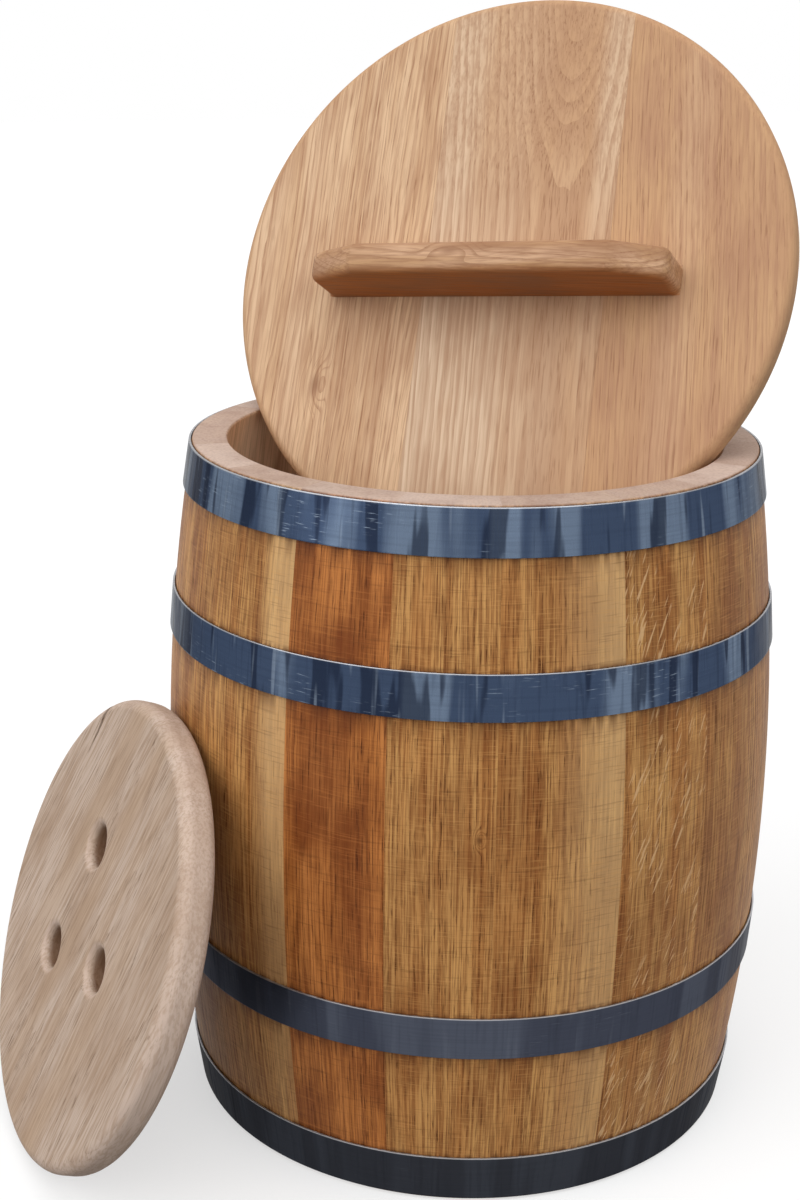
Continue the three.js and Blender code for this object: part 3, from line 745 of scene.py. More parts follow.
def store_wood(mesh, grain, zones, sapwood):
    """Stores what oak reads: place in the grain, raw, inner and hoop zones, and share of sapwood.

    The inner zone also holds painted shade on the handle's lower side and further down finger holes,
    and the hoop zone holds painted shade with dark streaks.
    """
    store(mesh, "grain", "FLOAT_VECTOR", np.stack(grain, -1))
    store(mesh, "zones", "FLOAT_VECTOR", np.stack(zones, -1))
    store(mesh, "sapwood", "FLOAT", sapwood)


def dressed(name, mesh, material, body, nodes):
    """Makes the finished piece, which rides on a body of the frame and stands for its nodes."""
    mesh.materials.clear()
    mesh.materials.append(material)
    piece = link(name, mesh)
    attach(piece, body)
    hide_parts(*nodes)


def outer_radius(sizes, height):
    """Outer radius of the bulged staves at a height."""
    share = 2 * height / sizes.height - 1
    return sizes.bilge_radius - (sizes.bilge_radius - sizes.end_radius) * share ** 2


# How far the darker band at a hoop, painted shade with soot, runs down the staves under it,
# and up over it.
SHADE_AND_SOOT = 14 * MM
SHADE_AND_SOOT_ABOVE = SHADE_AND_SOOT / 4
# How finely the staves and the hoops are drawn.
OUTSIDE_POINTS = 41
INSIDE_POINTS = 33
STAVE_POINTS = 11
HOOP_POINTS = 220
STRIP_POINTS = 7
STRIP_EDGE_STEPS = 2


def stave_outline(sizes):
    """Section of a stave: rounded foot and rim, bulged outside and inside, with the croze."""
    wall = sizes.thickness
    ease = sizes.rim_round
    top = sizes.height
    foot_radius = outer_radius(sizes, 0)
    rim_radius = outer_radius(sizes, top)
    groove = outer_radius(sizes, sizes.croze_low) - wall + sizes.croze_depth
    first, last = 2 * ease, top - 2 * ease
    outside = set(np.linspace(first, last, OUTSIDE_POINTS))
    for low, high in HOOP_HEIGHTS.values():
        outside.update(z for z in (low - SHADE_AND_SOOT, low, high, high + SHADE_AND_SOOT_ABOVE) if first < z < last)
    inside = np.linspace(last, sizes.croze_high, INSIDE_POINTS)
    points = [(foot_radius - wall + sizes.chime_bevel, 0)]
    points += arc(foot_radius - ease, ease, ease, -90, 0)
    points += [(outer_radius(sizes, height), height) for height in sorted(outside)]
    points += arc(rim_radius - ease, top - ease, ease, 0, 90)
    points += arc(rim_radius - wall + ease, top - ease, ease, 90, 180)
    points += [(outer_radius(sizes, height) - wall, height) for height in inside]
    points += [(groove, sizes.croze_high), (groove, sizes.croze_low)]
    for height in (sizes.croze_low, sizes.chime_bevel):
        points.append((outer_radius(sizes, height) - wall, height))
    return points


def round_axis(mesh):
    """Places of the vertices round the barrel's axis, as complex numbers, and their heights."""
    x, y, z = points_of(mesh).T
    return (x - BARREL_AXIS.x) + 1j * (y - BARREL_AXIS.y), z


def turned_from(start, around):
    """Angles of places round the axis, from a starting angle."""
    return np.angle(around * np.exp(-1j * start))


def angles_of(node):
    """First and last angle that a node of the frame takes up round the barrel's axis."""
    around, _ = round_axis(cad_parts[node].data)
    middle = np.angle(around.mean())
    spread = turned_from(middle, around)
    return middle + spread.min(), middle + spread.max()


# Shades of each kind of oak. The main one comes from the properties.
STAVE_SHADES = {
    "pale": "#cc995c", "dark": "#713b13", "pore": "#522a0a", "raw": "#cbb7ab", "inside": "#e4bf9d",
    "sapwood": "#e3bd88"}
RED_SHADES = {
    "pale": "#c67f43", "dark": "#6c320b", "pore": "#4f2408", "raw": "#c5b0a2", "inside": "#dab391",
    "sapwood": "#c99860"}
# The lid's inside shade, a dark orange-brown, is painted shade on the handle's lower side.
LID_SHADES = {
    "pale": "#cba483", "dark": "#a3765a", "pore": "#8e6448", "raw": "#c39a74", "inside": "#b2692a",
    "sapwood": "#d6b595"}
# Inside is painted shade far down the press board's finger holes; raw is also painted light on their lips.
PRESS_SHADES = {
    "pale": "#c4af9f", "dark": "#a0846c", "pore": "#7c6552", "raw": "#d4beb0", "inside": "#70482a",
    "sapwood": "#b3967a"}
HEAD_SHADES = {"pale": "#bd9a6d", "dark": "#835f3a", "pore": "#664425"}
# Oiled oak of the staves, and then what sets each kind of stave apart: its colour, its shades and its look.
OILED = {
    "ring_mm": 2.8, "wander_mm": 8.0, "waver_mm": 1.3, "vessel_share": 0.7, "streaks": 0.6, "blotches": 0.4,
    "rings": 0.58, "pores": 0.95, "fibres": 0.6, "clouds": 0.4, "saw_pale": 0.35, "saw_dark": 0.3,
    "sapwood": 0.5, "sapwood_under": "pores", "raw": 0.88, "end_grain": 0.16, "roughness": 0.52,
    "specular": 0.2,
}
STAVE_FINISHES = {
    "golden": ("stave", STAVE_SHADES, {"seed": 1.0, "knot": (151.0, 882.0, 2.6)}),
    "red": ("red_stave", RED_SHADES, {"seed": 2.4, "blotches": 0.7, "clouds": 0.55, "saw_pale": 0.22}),
    "flecked": (
        "stave", {**STAVE_SHADES, "pale": "#d6a465", "raw": "#bba598", "fleck": "#dab283"},
        {"seed": 3.0, "flecks": 0.75, "streaks": 0.8, "rings": 0.45, "pores": 0.8}),
    "mellow": ("stave", {**STAVE_SHADES, "raw": "#bba598"}, {"seed": 4.0, "blotches": 0.45}),
}
STAVE_ORDER = (
    "red", "golden", "mellow", "flecked", "golden", "mellow", "red", "golden", "flecked",
    "mellow", "golden", "red", "mellow", "golden", "flecked", "mellow", "golden", "mellow",
)
# Staves with a band of sapwood: where it starts and is full, as shares of the width from the left,
# and how much of it is left at the foot; the fading towards the foot is painted shade.
# Without sapwood, the band would start past the stave.
SAPWOOD = {
    "stave_18": (0.66, 0.78, 0.2), "stave_03": (0.4, 0.85, 0.6), "stave_09": (0.4, 0.6, 0.7),
    "stave_13": (0.3, 0.7, 0.4),
}
NO_SAPWOOD = (2, 3, 0)
# How soon sapwood is full, going up from the foot; the fading below that is painted shade.
SAPWOOD_RISE = 1.5
# Where the centre of a stave's log lies: how far to its side, with a few steps more from stave to stave,
# and how far over its inner face.
LOG_RADIUS = 110 * MM
LOG_STEP = 17 * MM
LOG_STEPS = 5
PITH_DEPTH = 6 * MM
# Stretch of the log between one stave and the next.
STAVE_RUN = 0.61


class BARREL_OT_staves(bpy.types.Operator):
    """Bend the staves, each with the grain of its own board"""

    bl_idname = "barrel.staves"
    bl_label = "Staves"

    def execute(self, context):
        sizes = context.scene.barrel_staves
        finishes = context.scene.barrel_finishes
        materials = {}
        for label, (main, shades, look) in STAVE_FINISHES.items():
            tint = tints(shades, getattr(finishes, main))
            materials[label] = oak(f"oiled_oak_{label}", tint, {**OILED, **look})
        tree = sweep_tree()
        path_radius = sizes.bilge_radius
        outline = [(radius - path_radius, height) for radius, height in stave_outline(sizes)]
        closing = sizes.joint_close / sizes.bilge_radius
        for number, node in enumerate(STAVES):
            first, last = angles_of(node)
            material = materials[STAVE_ORDER[number]]
            mesh = cleaned(grown(loop_of(outline), tree, {
                "Axis": tuple(BARREL_AXIS), "Radius": path_radius, "Start": first - closing,
                "Sweep": last - first + 2 * closing, "Points": STAVE_POINTS, "Material": material}))
            self.mark(mesh, sizes, first, last, number)
            dressed(f"oak_{node}", mesh, material, "barrel", [node])
        bpy.data.node_groups.remove(tree)
        return {"FINISHED"}

    def mark(self, mesh, sizes, first, last, number):
        """Each stave is cut radially from its own place in the log, and its ends and inside are raw."""
        around, heights = round_axis(mesh)
        across = turned_from((first + last) / 2, around) * sizes.bilge_radius
        depth = np.abs(around) - outer_radius(sizes, heights) + sizes.thickness
        log_radius = LOG_RADIUS + LOG_STEP * (number % LOG_STEPS)
        grain = [across + log_radius, depth - PITH_DEPTH, heights + STAVE_RUN * number]
        end = np.maximum(heights - (sizes.height - sizes.rim_round), sizes.rim_round - heights)
        raw = np.clip(end / sizes.rim_round, 0, 1)
        inside = (depth < sizes.thickness / 2) * (1 - raw)
        # Each hoop gets a darker band on the staves: painted shade under it, with soot.
        shade_and_soot = 0 * raw
        for low, high in HOOP_HEIGHTS.values():
            below = 1 - (low - heights) / SHADE_AND_SOOT
            above = 1 - (heights - high) / SHADE_AND_SOOT_ABOVE
            shade_and_soot = np.maximum(shade_and_soot, np.clip(np.minimum(below, above), 0, 1))
        start, full, foot = SAPWOOD.get(STAVES[number], NO_SAPWOOD)
        share = turned_from(first, around) / (last - first)
        # Sapwood fades towards the foot: painted shade low on the barrel.
        painted_shade_fade = foot + (1 - foot) * np.clip(SAPWOOD_RISE * heights / sizes.height, 0, 1)
        sapwood = painted_shade_fade * np.clip((share - start) / (full - start), 0, 1)
        store_wood(mesh, grain, [raw, inside, shade_and_soot * (1 - inside) * (1 - raw)], sapwood)


# Shades of the strips. The main one of the blue strip comes from the properties.
# The light and dark shades colour painted reflections, the bright one painted gleams and scuffs,
# and the shade of the upper edge stands for wear with a painted highlight.
WEAR_AND_HIGHLIGHT = {"wear_and_highlight": "#c3c3c6"}
BLUE_STRIP = {**WEAR_AND_HIGHLIGHT, "light": "#68778b", "dark": "#1b2233", "bright": "#8491a1"}
GREY_STRIP = {**WEAR_AND_HIGHLIGHT, "main": "#3b3f4b", "light": "#4a4f5b", "dark": "#2b2e38", "bright": "#70757f"}
BLACK_STRIP = {**WEAR_AND_HIGHLIGHT, "main": "#2e3036", "light": "#363940", "dark": "#212327", "bright": "#54585f"}
# How far the marks of the upper hoop, its painted reflections among them, are shifted along its strip,
# in metres after those of the rim hoop.
UPPER_START = 4.7
# Share of the joggle that is left flat before the strip meets its own start.
JOGGLE_END = 0.25


class BARREL_OT_hoops(bpy.types.Operator):
    """Bend the four hoops and lap their ends"""

    bl_idname = "barrel.hoops"
    bl_label = "Hoops"

    def execute(self, context):
        staves = context.scene.barrel_staves
        sizes = context.scene.barrel_hoops
        blue = tints(BLUE_STRIP, context.scene.barrel_finishes.hoop)
        grey = tints(GREY_STRIP)
        black = tints(BLACK_STRIP)
        finishes = {
            "rim_hoop": rolled_steel("blue_rolled_steel_rim", blue, streaky=1.0, roughness=0.26),
            "upper_hoop": rolled_steel(
                "blue_rolled_steel_upper", blue, streaky=1.0, roughness=0.26, start=UPPER_START),
            "lower_hoop": rolled_steel("grey_rolled_steel", grey, streaky=0.25, roughness=0.38),
            "chime_hoop": rolled_steel("black_rolled_steel", black, streaky=0.15, roughness=0.5),
        }
        tree = hoop_tree()
        for hoop, (low, high) in HOOP_HEIGHTS.items():
            material = finishes[hoop]
            radius = outer_radius(staves, low) + sizes.gap
            flare = outer_radius(staves, high) - outer_radius(staves, low)
            joggle = sizes.joggle_length / radius
            once = 2 * math.pi
            whole = once + sizes.lap_length / radius
            mesh = cleaned(grown(self.section(sizes, low, high, flare), tree, {
                "Axis": tuple(BARREL_AXIS), "Radius": radius, "Lap Angle": sizes.lap_angle,
                "Turns": whole / once, "Step Start": (once - joggle) / whole,
                "Step End": (once - JOGGLE_END * joggle) / whole, "Step": sizes.thickness + sizes.lap_gap,
                "Points": HOOP_POINTS, "Material": material}))
            heights = points_of(mesh)[:, 2]
            # The upper edge of the strip is bright with wear and a painted highlight.
            store(mesh, "wear_and_highlight", "FLOAT", np.clip(1 - (high - heights) / sizes.wear_and_highlight_edge, 0, 1))
            dressed(f"steel_{hoop}", mesh, material, "barrel", [hoop])
        bpy.data.node_groups.remove(tree)
        return {"FINISHED"}

    def section(self, sizes, low, high, flare):
        """Section of the strip with rounded edges, leaning out with the staves."""
        ease = sizes.edge_round
        wall = sizes.thickness
        between = np.linspace(low + sizes.wear_and_highlight_edge, high - sizes.wear_and_highlight_edge, STRIP_POINTS)
        points = arc(ease, low + ease, ease, 180, 270, STRIP_EDGE_STEPS)
        points += arc(wall - ease, low + ease, ease, 270, 360, STRIP_EDGE_STEPS)
        points += [(wall, height) for height in between]
        points += arc(wall - ease, high - ease, ease, 0, 90, STRIP_EDGE_STEPS)
        points += arc(ease, high - ease, ease, 90, 180, STRIP_EDGE_STEPS)
        points += [(0, height) for height in reversed(between)]
        slope = flare / (high - low)
        return loop_of([(radius + slope * (height - low), height) for radius, height in points])


class BARREL_OT_rivets(bpy.types.Operator):
    """Set the rivet heads on the laps of the hoops"""

    bl_idname = "barrel.rivets"
    bl_label = "Rivets"

    def execute(self, context):
        staves = context.scene.barrel_staves
        sizes = context.scene.barrel_hoops
        nodes = [f"{hoop}_rivet_{side}" for hoop in HOOPS for side in (1, 2)]
        seats = []
        outwards = []
        for node in nodes:
            low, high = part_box(node)
            middle = (low + high) / 2
            outward = Vector((middle.x - BARREL_AXIS.x, middle.y - BARREL_AXIS.y, 0)).normalized()
            stand = outer_radius(staves, middle.z) + sizes.gap + 2 * sizes.thickness + sizes.lap_gap
            slope = outer_radius(staves, middle.z + MM) - outer_radius(staves, middle.z)
            outwards.append(outward - Vector((0, 0, slope / MM)))
            seats.append(BARREL_AXIS + outward * (stand + sizes.rivet_height / 2) + Vector((0, 0, middle.z)))
        start = bpy.data.meshes.new("seats")
        start.from_pydata(seats, [], [])
        store(start, "outward", "FLOAT_VECTOR", np.array(outwards))
        material = worked_steel("hammered_rivet_steel", "#4a505e", "#8d95a3", grit_mm=1.2, roughness=0.32)
        tree = rivet_tree()
        mesh = cleaned(grown(start, tree, {
            "Radius": sizes.rivet_radius, "Height": sizes.rivet_height, "Seed": BLOW_SEED,
            "Material": material}))
        bpy.data.node_groups.remove(tree)
        dressed("hoop_rivets", mesh, material, "barrel", nodes)
        return {"FINISHED"}


def stacked(name, rings):
    """Closed mesh of rings of as many places each, with a flat face at each end."""
    mesh = bpy.data.meshes.new(name)
    shape = bmesh.new()
    corners = [[shape.verts.new(place) for place in ring] for ring in rings]
    shape.faces.new(reversed(corners[0]))
    shape.faces.new(corners[-1])
    count = len(corners[0])
    for lower, upper in zip(corners[:-1], corners[1:]):
        for i in range(count):
            after = (i + 1) % count
            shape.faces.new((lower[i], lower[after], upper[after], upper[i]))
    bmesh.ops.recalc_face_normals(shape, faces=shape.faces)
    shape.to_mesh(mesh)
    shape.free()
    return mesh


def turned(points, steps):
    """Closed mesh turned about Z from points of radius and height."""
    turns = [2 * math.pi * step / steps for step in range(steps)]
    rings = []
    for radius, height in points:
        rings.append([(radius * math.cos(turn), radius * math.sin(turn), height) for turn in turns])
    return stacked("turned", rings)


def prism(outline, low, high):
    """Closed mesh of a flat outline of x and y, raised from one height to another."""
    return stacked("prism", [[(x, y, height) for x, y in outline] for height in (low, high)])


# A cut along a line keeps vertices that are as near to it as this.
SCORE_REACH = 0.001 * MM


def scored(mesh, columns, rows):
    """Splits the faces along lines of constant x and y, so that values on the vertices can bend there."""
    shape = bmesh.new()
    shape.from_mesh(mesh)
    for axis, places in enumerate((columns, rows)):
        across = Vector((0, 0, 0))
        across[axis] = 1
        for place in places:
            bmesh.ops.bisect_plane(
                shape, geom=[*shape.verts, *shape.edges, *shape.faces], dist=SCORE_REACH,
                plane_co=across * place, plane_no=across)
    shape.to_mesh(mesh)
    shape.free()
    return mesh


def carved(blank, cuts, columns=(), rows=()):
    """Copy of a blank after its cuts, each an operation and a mesh, with even shading on the flats."""
    piece = link("blank", blank.copy())
    tools = []
    for operation, cutter in cuts:
        tool = link("cutter", cutter)
        tools.append(tool)
        modifier = piece.modifiers.new("Cut", "BOOLEAN")
        modifier.operation = operation
        modifier.object = tool
        modifier.solver = "EXACT"
    mesh = cleaned(scored(settled(piece), columns, rows))
    for tool in tools:
        bpy.data.objects.remove(tool)
    shaded = link("shaded", mesh)
    modifier = shaded.modifiers.new("Even", "WEIGHTED_NORMAL")
    modifier.keep_sharp = True
    return settled(shaded)


# How finely round boards, finger holes and screw holes are drawn.
BOARD_CORNERS = 224
BOARD_EDGE_STEPS = 7
HOLE_CORNERS = 56
HOLE_LIP_STEPS = 6
HOLE_WALL_POINTS = 7
SCREW_CORNERS = 32


def round_board(sizes):
    """Round blank with both edges rounded over."""
    ease = sizes.edge_round
    points = arc(sizes.radius - ease, ease, ease, -90, 0, BOARD_EDGE_STEPS)
    points += arc(sizes.radius - ease, sizes.thickness - ease, ease, 0, 90, BOARD_EDGE_STEPS)
    return turned(points, BOARD_CORNERS)


def stand_matrix(nodes, sizes):
    """Places a disc that lies flat, its under face at zero, where the frame's boards stand."""
    low, high = box_round(nodes)
    return (
        Matrix.Translation((low + high) / 2)
        @ Matrix.Rotation(-sizes.facing, 4, "Z")
        @ Matrix.Rotation(math.pi / 2 - sizes.lean, 4, "X")
        @ Matrix.Rotation(sizes.turn, 4, "Z")
        @ Matrix.Translation((0, 0, -sizes.thickness / 2))
    )


# A log whose centre lies level and straight. Each board's own log says where its centre lies, across and
# under the board, where along it the board was cut, how it leans and climbs for each metre, and where it
# starts to climb.
STRAIGHT_LOG = {"along": 0.0, "lean": 0.0, "climb": 0.0, "start": 0.0}
# Over how long a stretch the log's centre bends towards the surface.
BEND = 12 * MM
# Share of a rounded edge over which the wood turns raw.
RAW_EDGE = 0.9
# How far down a finger hole's lip stays pale, fresh wood with painted light, before painted shade
# darkens the hole.
LIP_DEPTH = 4 * MM
# A stripe keeps its tone up to the first share of its half width, and is gone at the second.
# The pale lip of a finger hole, fresh wood with painted light, does the same with its depth.
FADE_START = 0.5
FADE_END = 1.5


def mark_board(mesh, sizes, log, stripes, holes):
    """Grain of a board that runs along Y, where its log's centre lies under it, and its pale parts.

    The rounded edge shows freshly cut wood, and so do the lips of the holes, with painted light on them.
    The holes, each a place and a radius, get painted shade further down inside.
    """
    log = {**STRAIGHT_LOG, **log}
    x, y, z = points_of(mesh).T
    climb = BEND * np.logaddexp(0, (y - log["start"]) / BEND) * log["climb"]
    grain = [x - log["across"] - log["lean"] * y, z - log["depth"] - climb, y + log["along"]]
    reach = np.hypot(x, y) - (sizes.radius - sizes.edge_round)
    raw = np.clip(reach / (RAW_EDGE * sizes.edge_round), 0, 1)
    painted_hole_shade = 0 * raw
    depth = (sizes.thickness - z) / LIP_DEPTH
    # Far down a finger hole is painted shade, and its pale lip is fresh wood with painted light.
    for hole_x, hole_y, hole_radius in holes:
        inside = np.hypot(x - hole_x, y - hole_y) < hole_radius
        painted_hole_shade = np.maximum(painted_hole_shade, inside * np.clip(depth - 1, 0, 1))
        raw = np.maximum(raw, inside * np.clip(FADE_END - depth, 0, 1))
    tone = 0 * raw
    # Zero from half way up to the board's head, and one from half way down to its foot.
    fall = np.clip(0.5 - y / sizes.radius, 0, 1)
    for middle, width, head, foot in stripes:
        share = head + (foot - head) * fall
        tone = np.maximum(tone, share * np.clip(FADE_END - np.abs(x - middle * MM) / (width * MM), 0, 1))
    store_wood(mesh, grain, [raw, painted_hole_shade, 0 * raw], tone)


def stripe_edges(stripes, first, last):
    """Places across a board where the tone of its stripes starts to change."""
    sides = (-FADE_END, -FADE_START, FADE_START, FADE_END)
    edges = [middle * MM + side * width * MM for middle, width, *_ in stripes for side in sides]
    return [edge for edge in edges if first < edge < last]


# What each board gives up at a seam.
SEAM = 0.04 * MM


def slab(sizes, first, last):
    """Cutter that keeps the part of a disc between two seams."""
    reach = 2 * sizes.radius
    left, right = first + SEAM, last - SEAM
    outline = [(left, -reach), (right, -reach), (right, reach), (left, reach)]
    return prism(outline, -sizes.thickness, 2 * sizes.thickness)


def boards(nodes, sizes, logs, stripes, cutters, rows=(), holes=()):
    """Gives, one by one, the boards of a round piece: number, node, and mesh in its place.

    Each cutter comes with its place across the piece and how far it reaches from there.
    """
    place = stand_matrix(nodes, sizes)
    blank = round_board(sizes)
    # The outer boards are cut well past the rim.
    edges = (-2 * sizes.radius, sizes.first_seam, sizes.second_seam, 2 * sizes.radius)
    for number, node in enumerate(nodes):
        first, last = edges[number:number + 2]
        cuts = [("INTERSECT", slab(sizes, first, last))]
        for cutter, across, reach in cutters:
            if first - reach < across < last + reach:
                cuts.append(("DIFFERENCE", cutter))
        mesh = carved(blank, cuts, stripe_edges(stripes[number], first, last), rows)
        mark_board(mesh, sizes, logs[number], stripes[number], holes)
        mesh.transform(place)
        yield number, node, mesh
    bpy.data.meshes.remove(blank)


# The outer boards of the lid are cut near the quarter. The middle one is flat-sawn, and its rings
# run out in points.
LID_LOGS = (
    {"across": -210 * MM, "depth": -70 * MM, "lean": 0.02},
    {"across": 40 * MM, "depth": -14 * MM, "along": 0.9, "lean": -0.03, "climb": 0.23, "start": 72 * MM},
    {"across": 250 * MM, "depth": -60 * MM, "along": 1.7, "lean": -0.06, "climb": 0.05},
)
# Pale stripes on each board of the lid: middle and half width in millimetres, and share at head and foot.
LID_STRIPES = (
    ((-152, 8, 0.45, 0.45), (-190, 12, 0.5, 0.5)),
    ((-46, 16, 0.7, 1.0), (-10, 26, 0.2, 0.9), (34, 18, 0.0, 0.55), (68, 10, 0.6, 0.15)),
    ((128, 12, 0.25, 0.25),),
)
# Lines across the lid where the stripes' tone can bend.
LID_ROWS = np.arange(-0.18, 0.2, 0.02)
# Growth of each board of the lid. The first has a small knot: its place in the grain, and its size.
LID_LOOKS = (
    {"seed": 5.0, "ring_mm": 2.9, "knot": (79.0, -83.0, 7.0), "blotches": 0.3},
    {"seed": 6.0, "ring_mm": 5.4, "ring_share": 0.8, "wander_mm": 9.0, "blotches": 0.2},
    {"seed": 7.0, "ring_mm": 2.7, "blotches": 0.3},
)
# Shades in which each board of the lid differs.
LID_TINTS = (
    {"pale": "#d9b793", "dark": "#9f7150"},
    {"pale": "#c09873", "sapwood": "#dcc3a7", "dark": "#a67c5c"},
    {"pale": "#c0976f"},
)
SANDED = {"streaks": 0.45, "rings": 0.5, "pores": 0.65, "fibres": 0.5, "clouds": 0.3, "waver_mm": 2.0}
# How deep the straight part of a screw's countersink is, and how far past the thickness its hole is bored.
SCREW_SEAT = 0.3 * MM
BORED_THROUGH = 1.2


class BARREL_OT_lid(bpy.types.Operator):
    """Join the lid's three boards and bore them for the screws"""

    bl_idname = "barrel.lid"
    bl_label = "Lid"

    def execute(self, context):
        sizes = context.scene.barrel_lid
        screws = (-sizes.screw_reach, 0, sizes.screw_reach)
        cutters = [(self.countersink(sizes, across), across, 0) for across in screws]
        for number, node, mesh in boards(LID_BOARDS, sizes, LID_LOGS, LID_STRIPES, cutters, LID_ROWS):
            tint = tints({**LID_SHADES, **LID_TINTS[number]}, context.scene.barrel_finishes.lid)
            material = oak(f"sanded_oak_{node}", tint, {**SANDED, **LID_LOOKS[number]})
            dressed(f"oak_{node}", mesh, material, "lid", [node])
        return {"FINISHED"}

    def countersink(self, sizes, across):
        """Cutter for one screw, from the under face."""
        points = [
            (sizes.screw_head_radius, -MM),
            (sizes.screw_head_radius, SCREW_SEAT),
            (sizes.screw_radius, sizes.screw_head_height),
            (sizes.screw_radius, BORED_THROUGH * sizes.thickness),
        ]
        mesh = turned(points, SCREW_CORNERS)
        mesh.transform(Matrix.Translation((across, -sizes.handle_drop, 0)))
        return mesh


# Where the centre of the handle's log lies, beside the bar and above its foot, and how it leans along it.
HANDLE_BESIDE = 40 * MM
HANDLE_ABOVE = 90 * MM
HANDLE_LEAN = 0.1
HANDLE_LOOK = {
    **SANDED, "seed": 9.0, "ring_mm": 3.6, "wander_mm": 20.0, "streaks": 0.9, "rings": 0.55,
    "blotches": 0.75, "clouds": 0.4, "knot": (-34.0, -18.0, 6.5)}
# Share of the rounding at the bar's foot and at the creases of its top, the steps of a rounding,
# and the angle in degrees from which an edge looks sharp.
SLIGHT_ROUND = 0.1
ROUND_STEPS = 5
ROUND_SHARP = 50


class BARREL_OT_handle(bpy.types.Operator):
    """Shape the handle bar across the lid"""

    bl_idname = "barrel.handle"
    bl_label = "Handle"

    def execute(self, context):
        sizes = context.scene.barrel_lid
        mesh = self.bar(sizes)
        x, y, z = points_of(mesh).T
        grain = [y - HANDLE_BESIDE, z - HANDLE_ABOVE + HANDLE_LEAN * x, x]
        # The bar's lower side gets the inner shade: painted shade.
        under = np.clip((-y - sizes.handle_width / 2 + sizes.handle_round) / sizes.handle_round, 0, 1)
        store_wood(mesh, grain, [0 * under, under ** 2, 0 * under], 0 * under)
        foot = Matrix.Translation((0, -sizes.handle_drop, sizes.thickness + sizes.handle_gap))
        mesh.transform(stand_matrix(LID_BOARDS, sizes) @ foot)
        tint = tints({**LID_SHADES, "dark": "#94694a"}, context.scene.barrel_finishes.handle)
        material = oak("sanded_oak_handle", tint, HANDLE_LOOK)
        dressed("oak_lid_handle", mesh, material, "lid", ["lid_handle"])
        return {"FINISHED"}

    def bar(self, sizes):
        """Bar along X with sloping ends, its foot at zero, rounded but for its foot."""
        end = sizes.handle_length / 2
        top = sizes.handle_height
        shoulder = top - sizes.bevel_drop
        flat = end - sizes.bevel_length
        outline = [(-end, 0), (end, 0), (end, shoulder), (flat, top), (-flat, top), (-end, shoulder)]
        mesh = prism(outline, -sizes.handle_width / 2, sizes.handle_width / 2)
        mesh.transform(Matrix.Rotation(math.pi / 2, 4, "X"))
        blank = link("bar", mesh)
        weights = mesh.attributes.new("bevel_weight_edge", "FLOAT", "EDGE")
        for edge in mesh.edges:
            first, last = (mesh.vertices[corner].co for corner in edge.vertices)
            foot = max(first.z, last.z) < MM
            crease = abs(first.x - last.x) < MM and min(first.z, last.z) > top - MM
            weights.data[edge.index].value = SLIGHT_ROUND if foot or crease else 1.0
        rounding = blank.modifiers.new("Round", "BEVEL")
        rounding.limit_method = "WEIGHT"
        rounding.width = sizes.handle_round
        rounding.segments = ROUND_STEPS
        return cleaned(settled(blank), ROUND_SHARP)


PRESS_LOGS = (
    {"across": -190 * MM, "depth": -60 * MM, "lean": 0.05},
    {"across": 10 * MM, "depth": -120 * MM, "along": 0.7, "climb": 0.05},
    {"across": 120 * MM, "depth": -50 * MM, "along": 1.3, "lean": -0.05, "climb": 0.05},
)
# Pale stripes of the press board, as on the lid.
PRESS_STRIPES = (
    ((-60, 14, 0.7, 0.3),),
    ((-8, 10, 0.7, 0.4), (28, 8, 0.4, 0.5)),
    ((70, 12, 0.3, 0.7),),
)
PRESS_LOOK = {
    "rings": 0.3, "streaks": 0.1, "blotches": 0.5, "pores": 0.9, "fibres": 0.75, "clouds": 0.3, "raw": 0.5,
    "end_grain": 0.22, "roughness": 0.7, "bump": 0.6}
PRESS_SEED = 12.0
# How many finger holes there are, and which share of a hole's lip counts as bored.
FINGER_HOLES = 3
BORED_LIP = 0.6
# Outline of the drying crack in millimetres, from the edge inwards and back, and its depth.
CRACK = ((-121.6, 116), (-119.4, 97), (-117.0, 87), (-115.2, 64), (-113.6, 85), (-114.4, 98), (-115.2, 116))
CRACK_DEPTH = 12 * MM


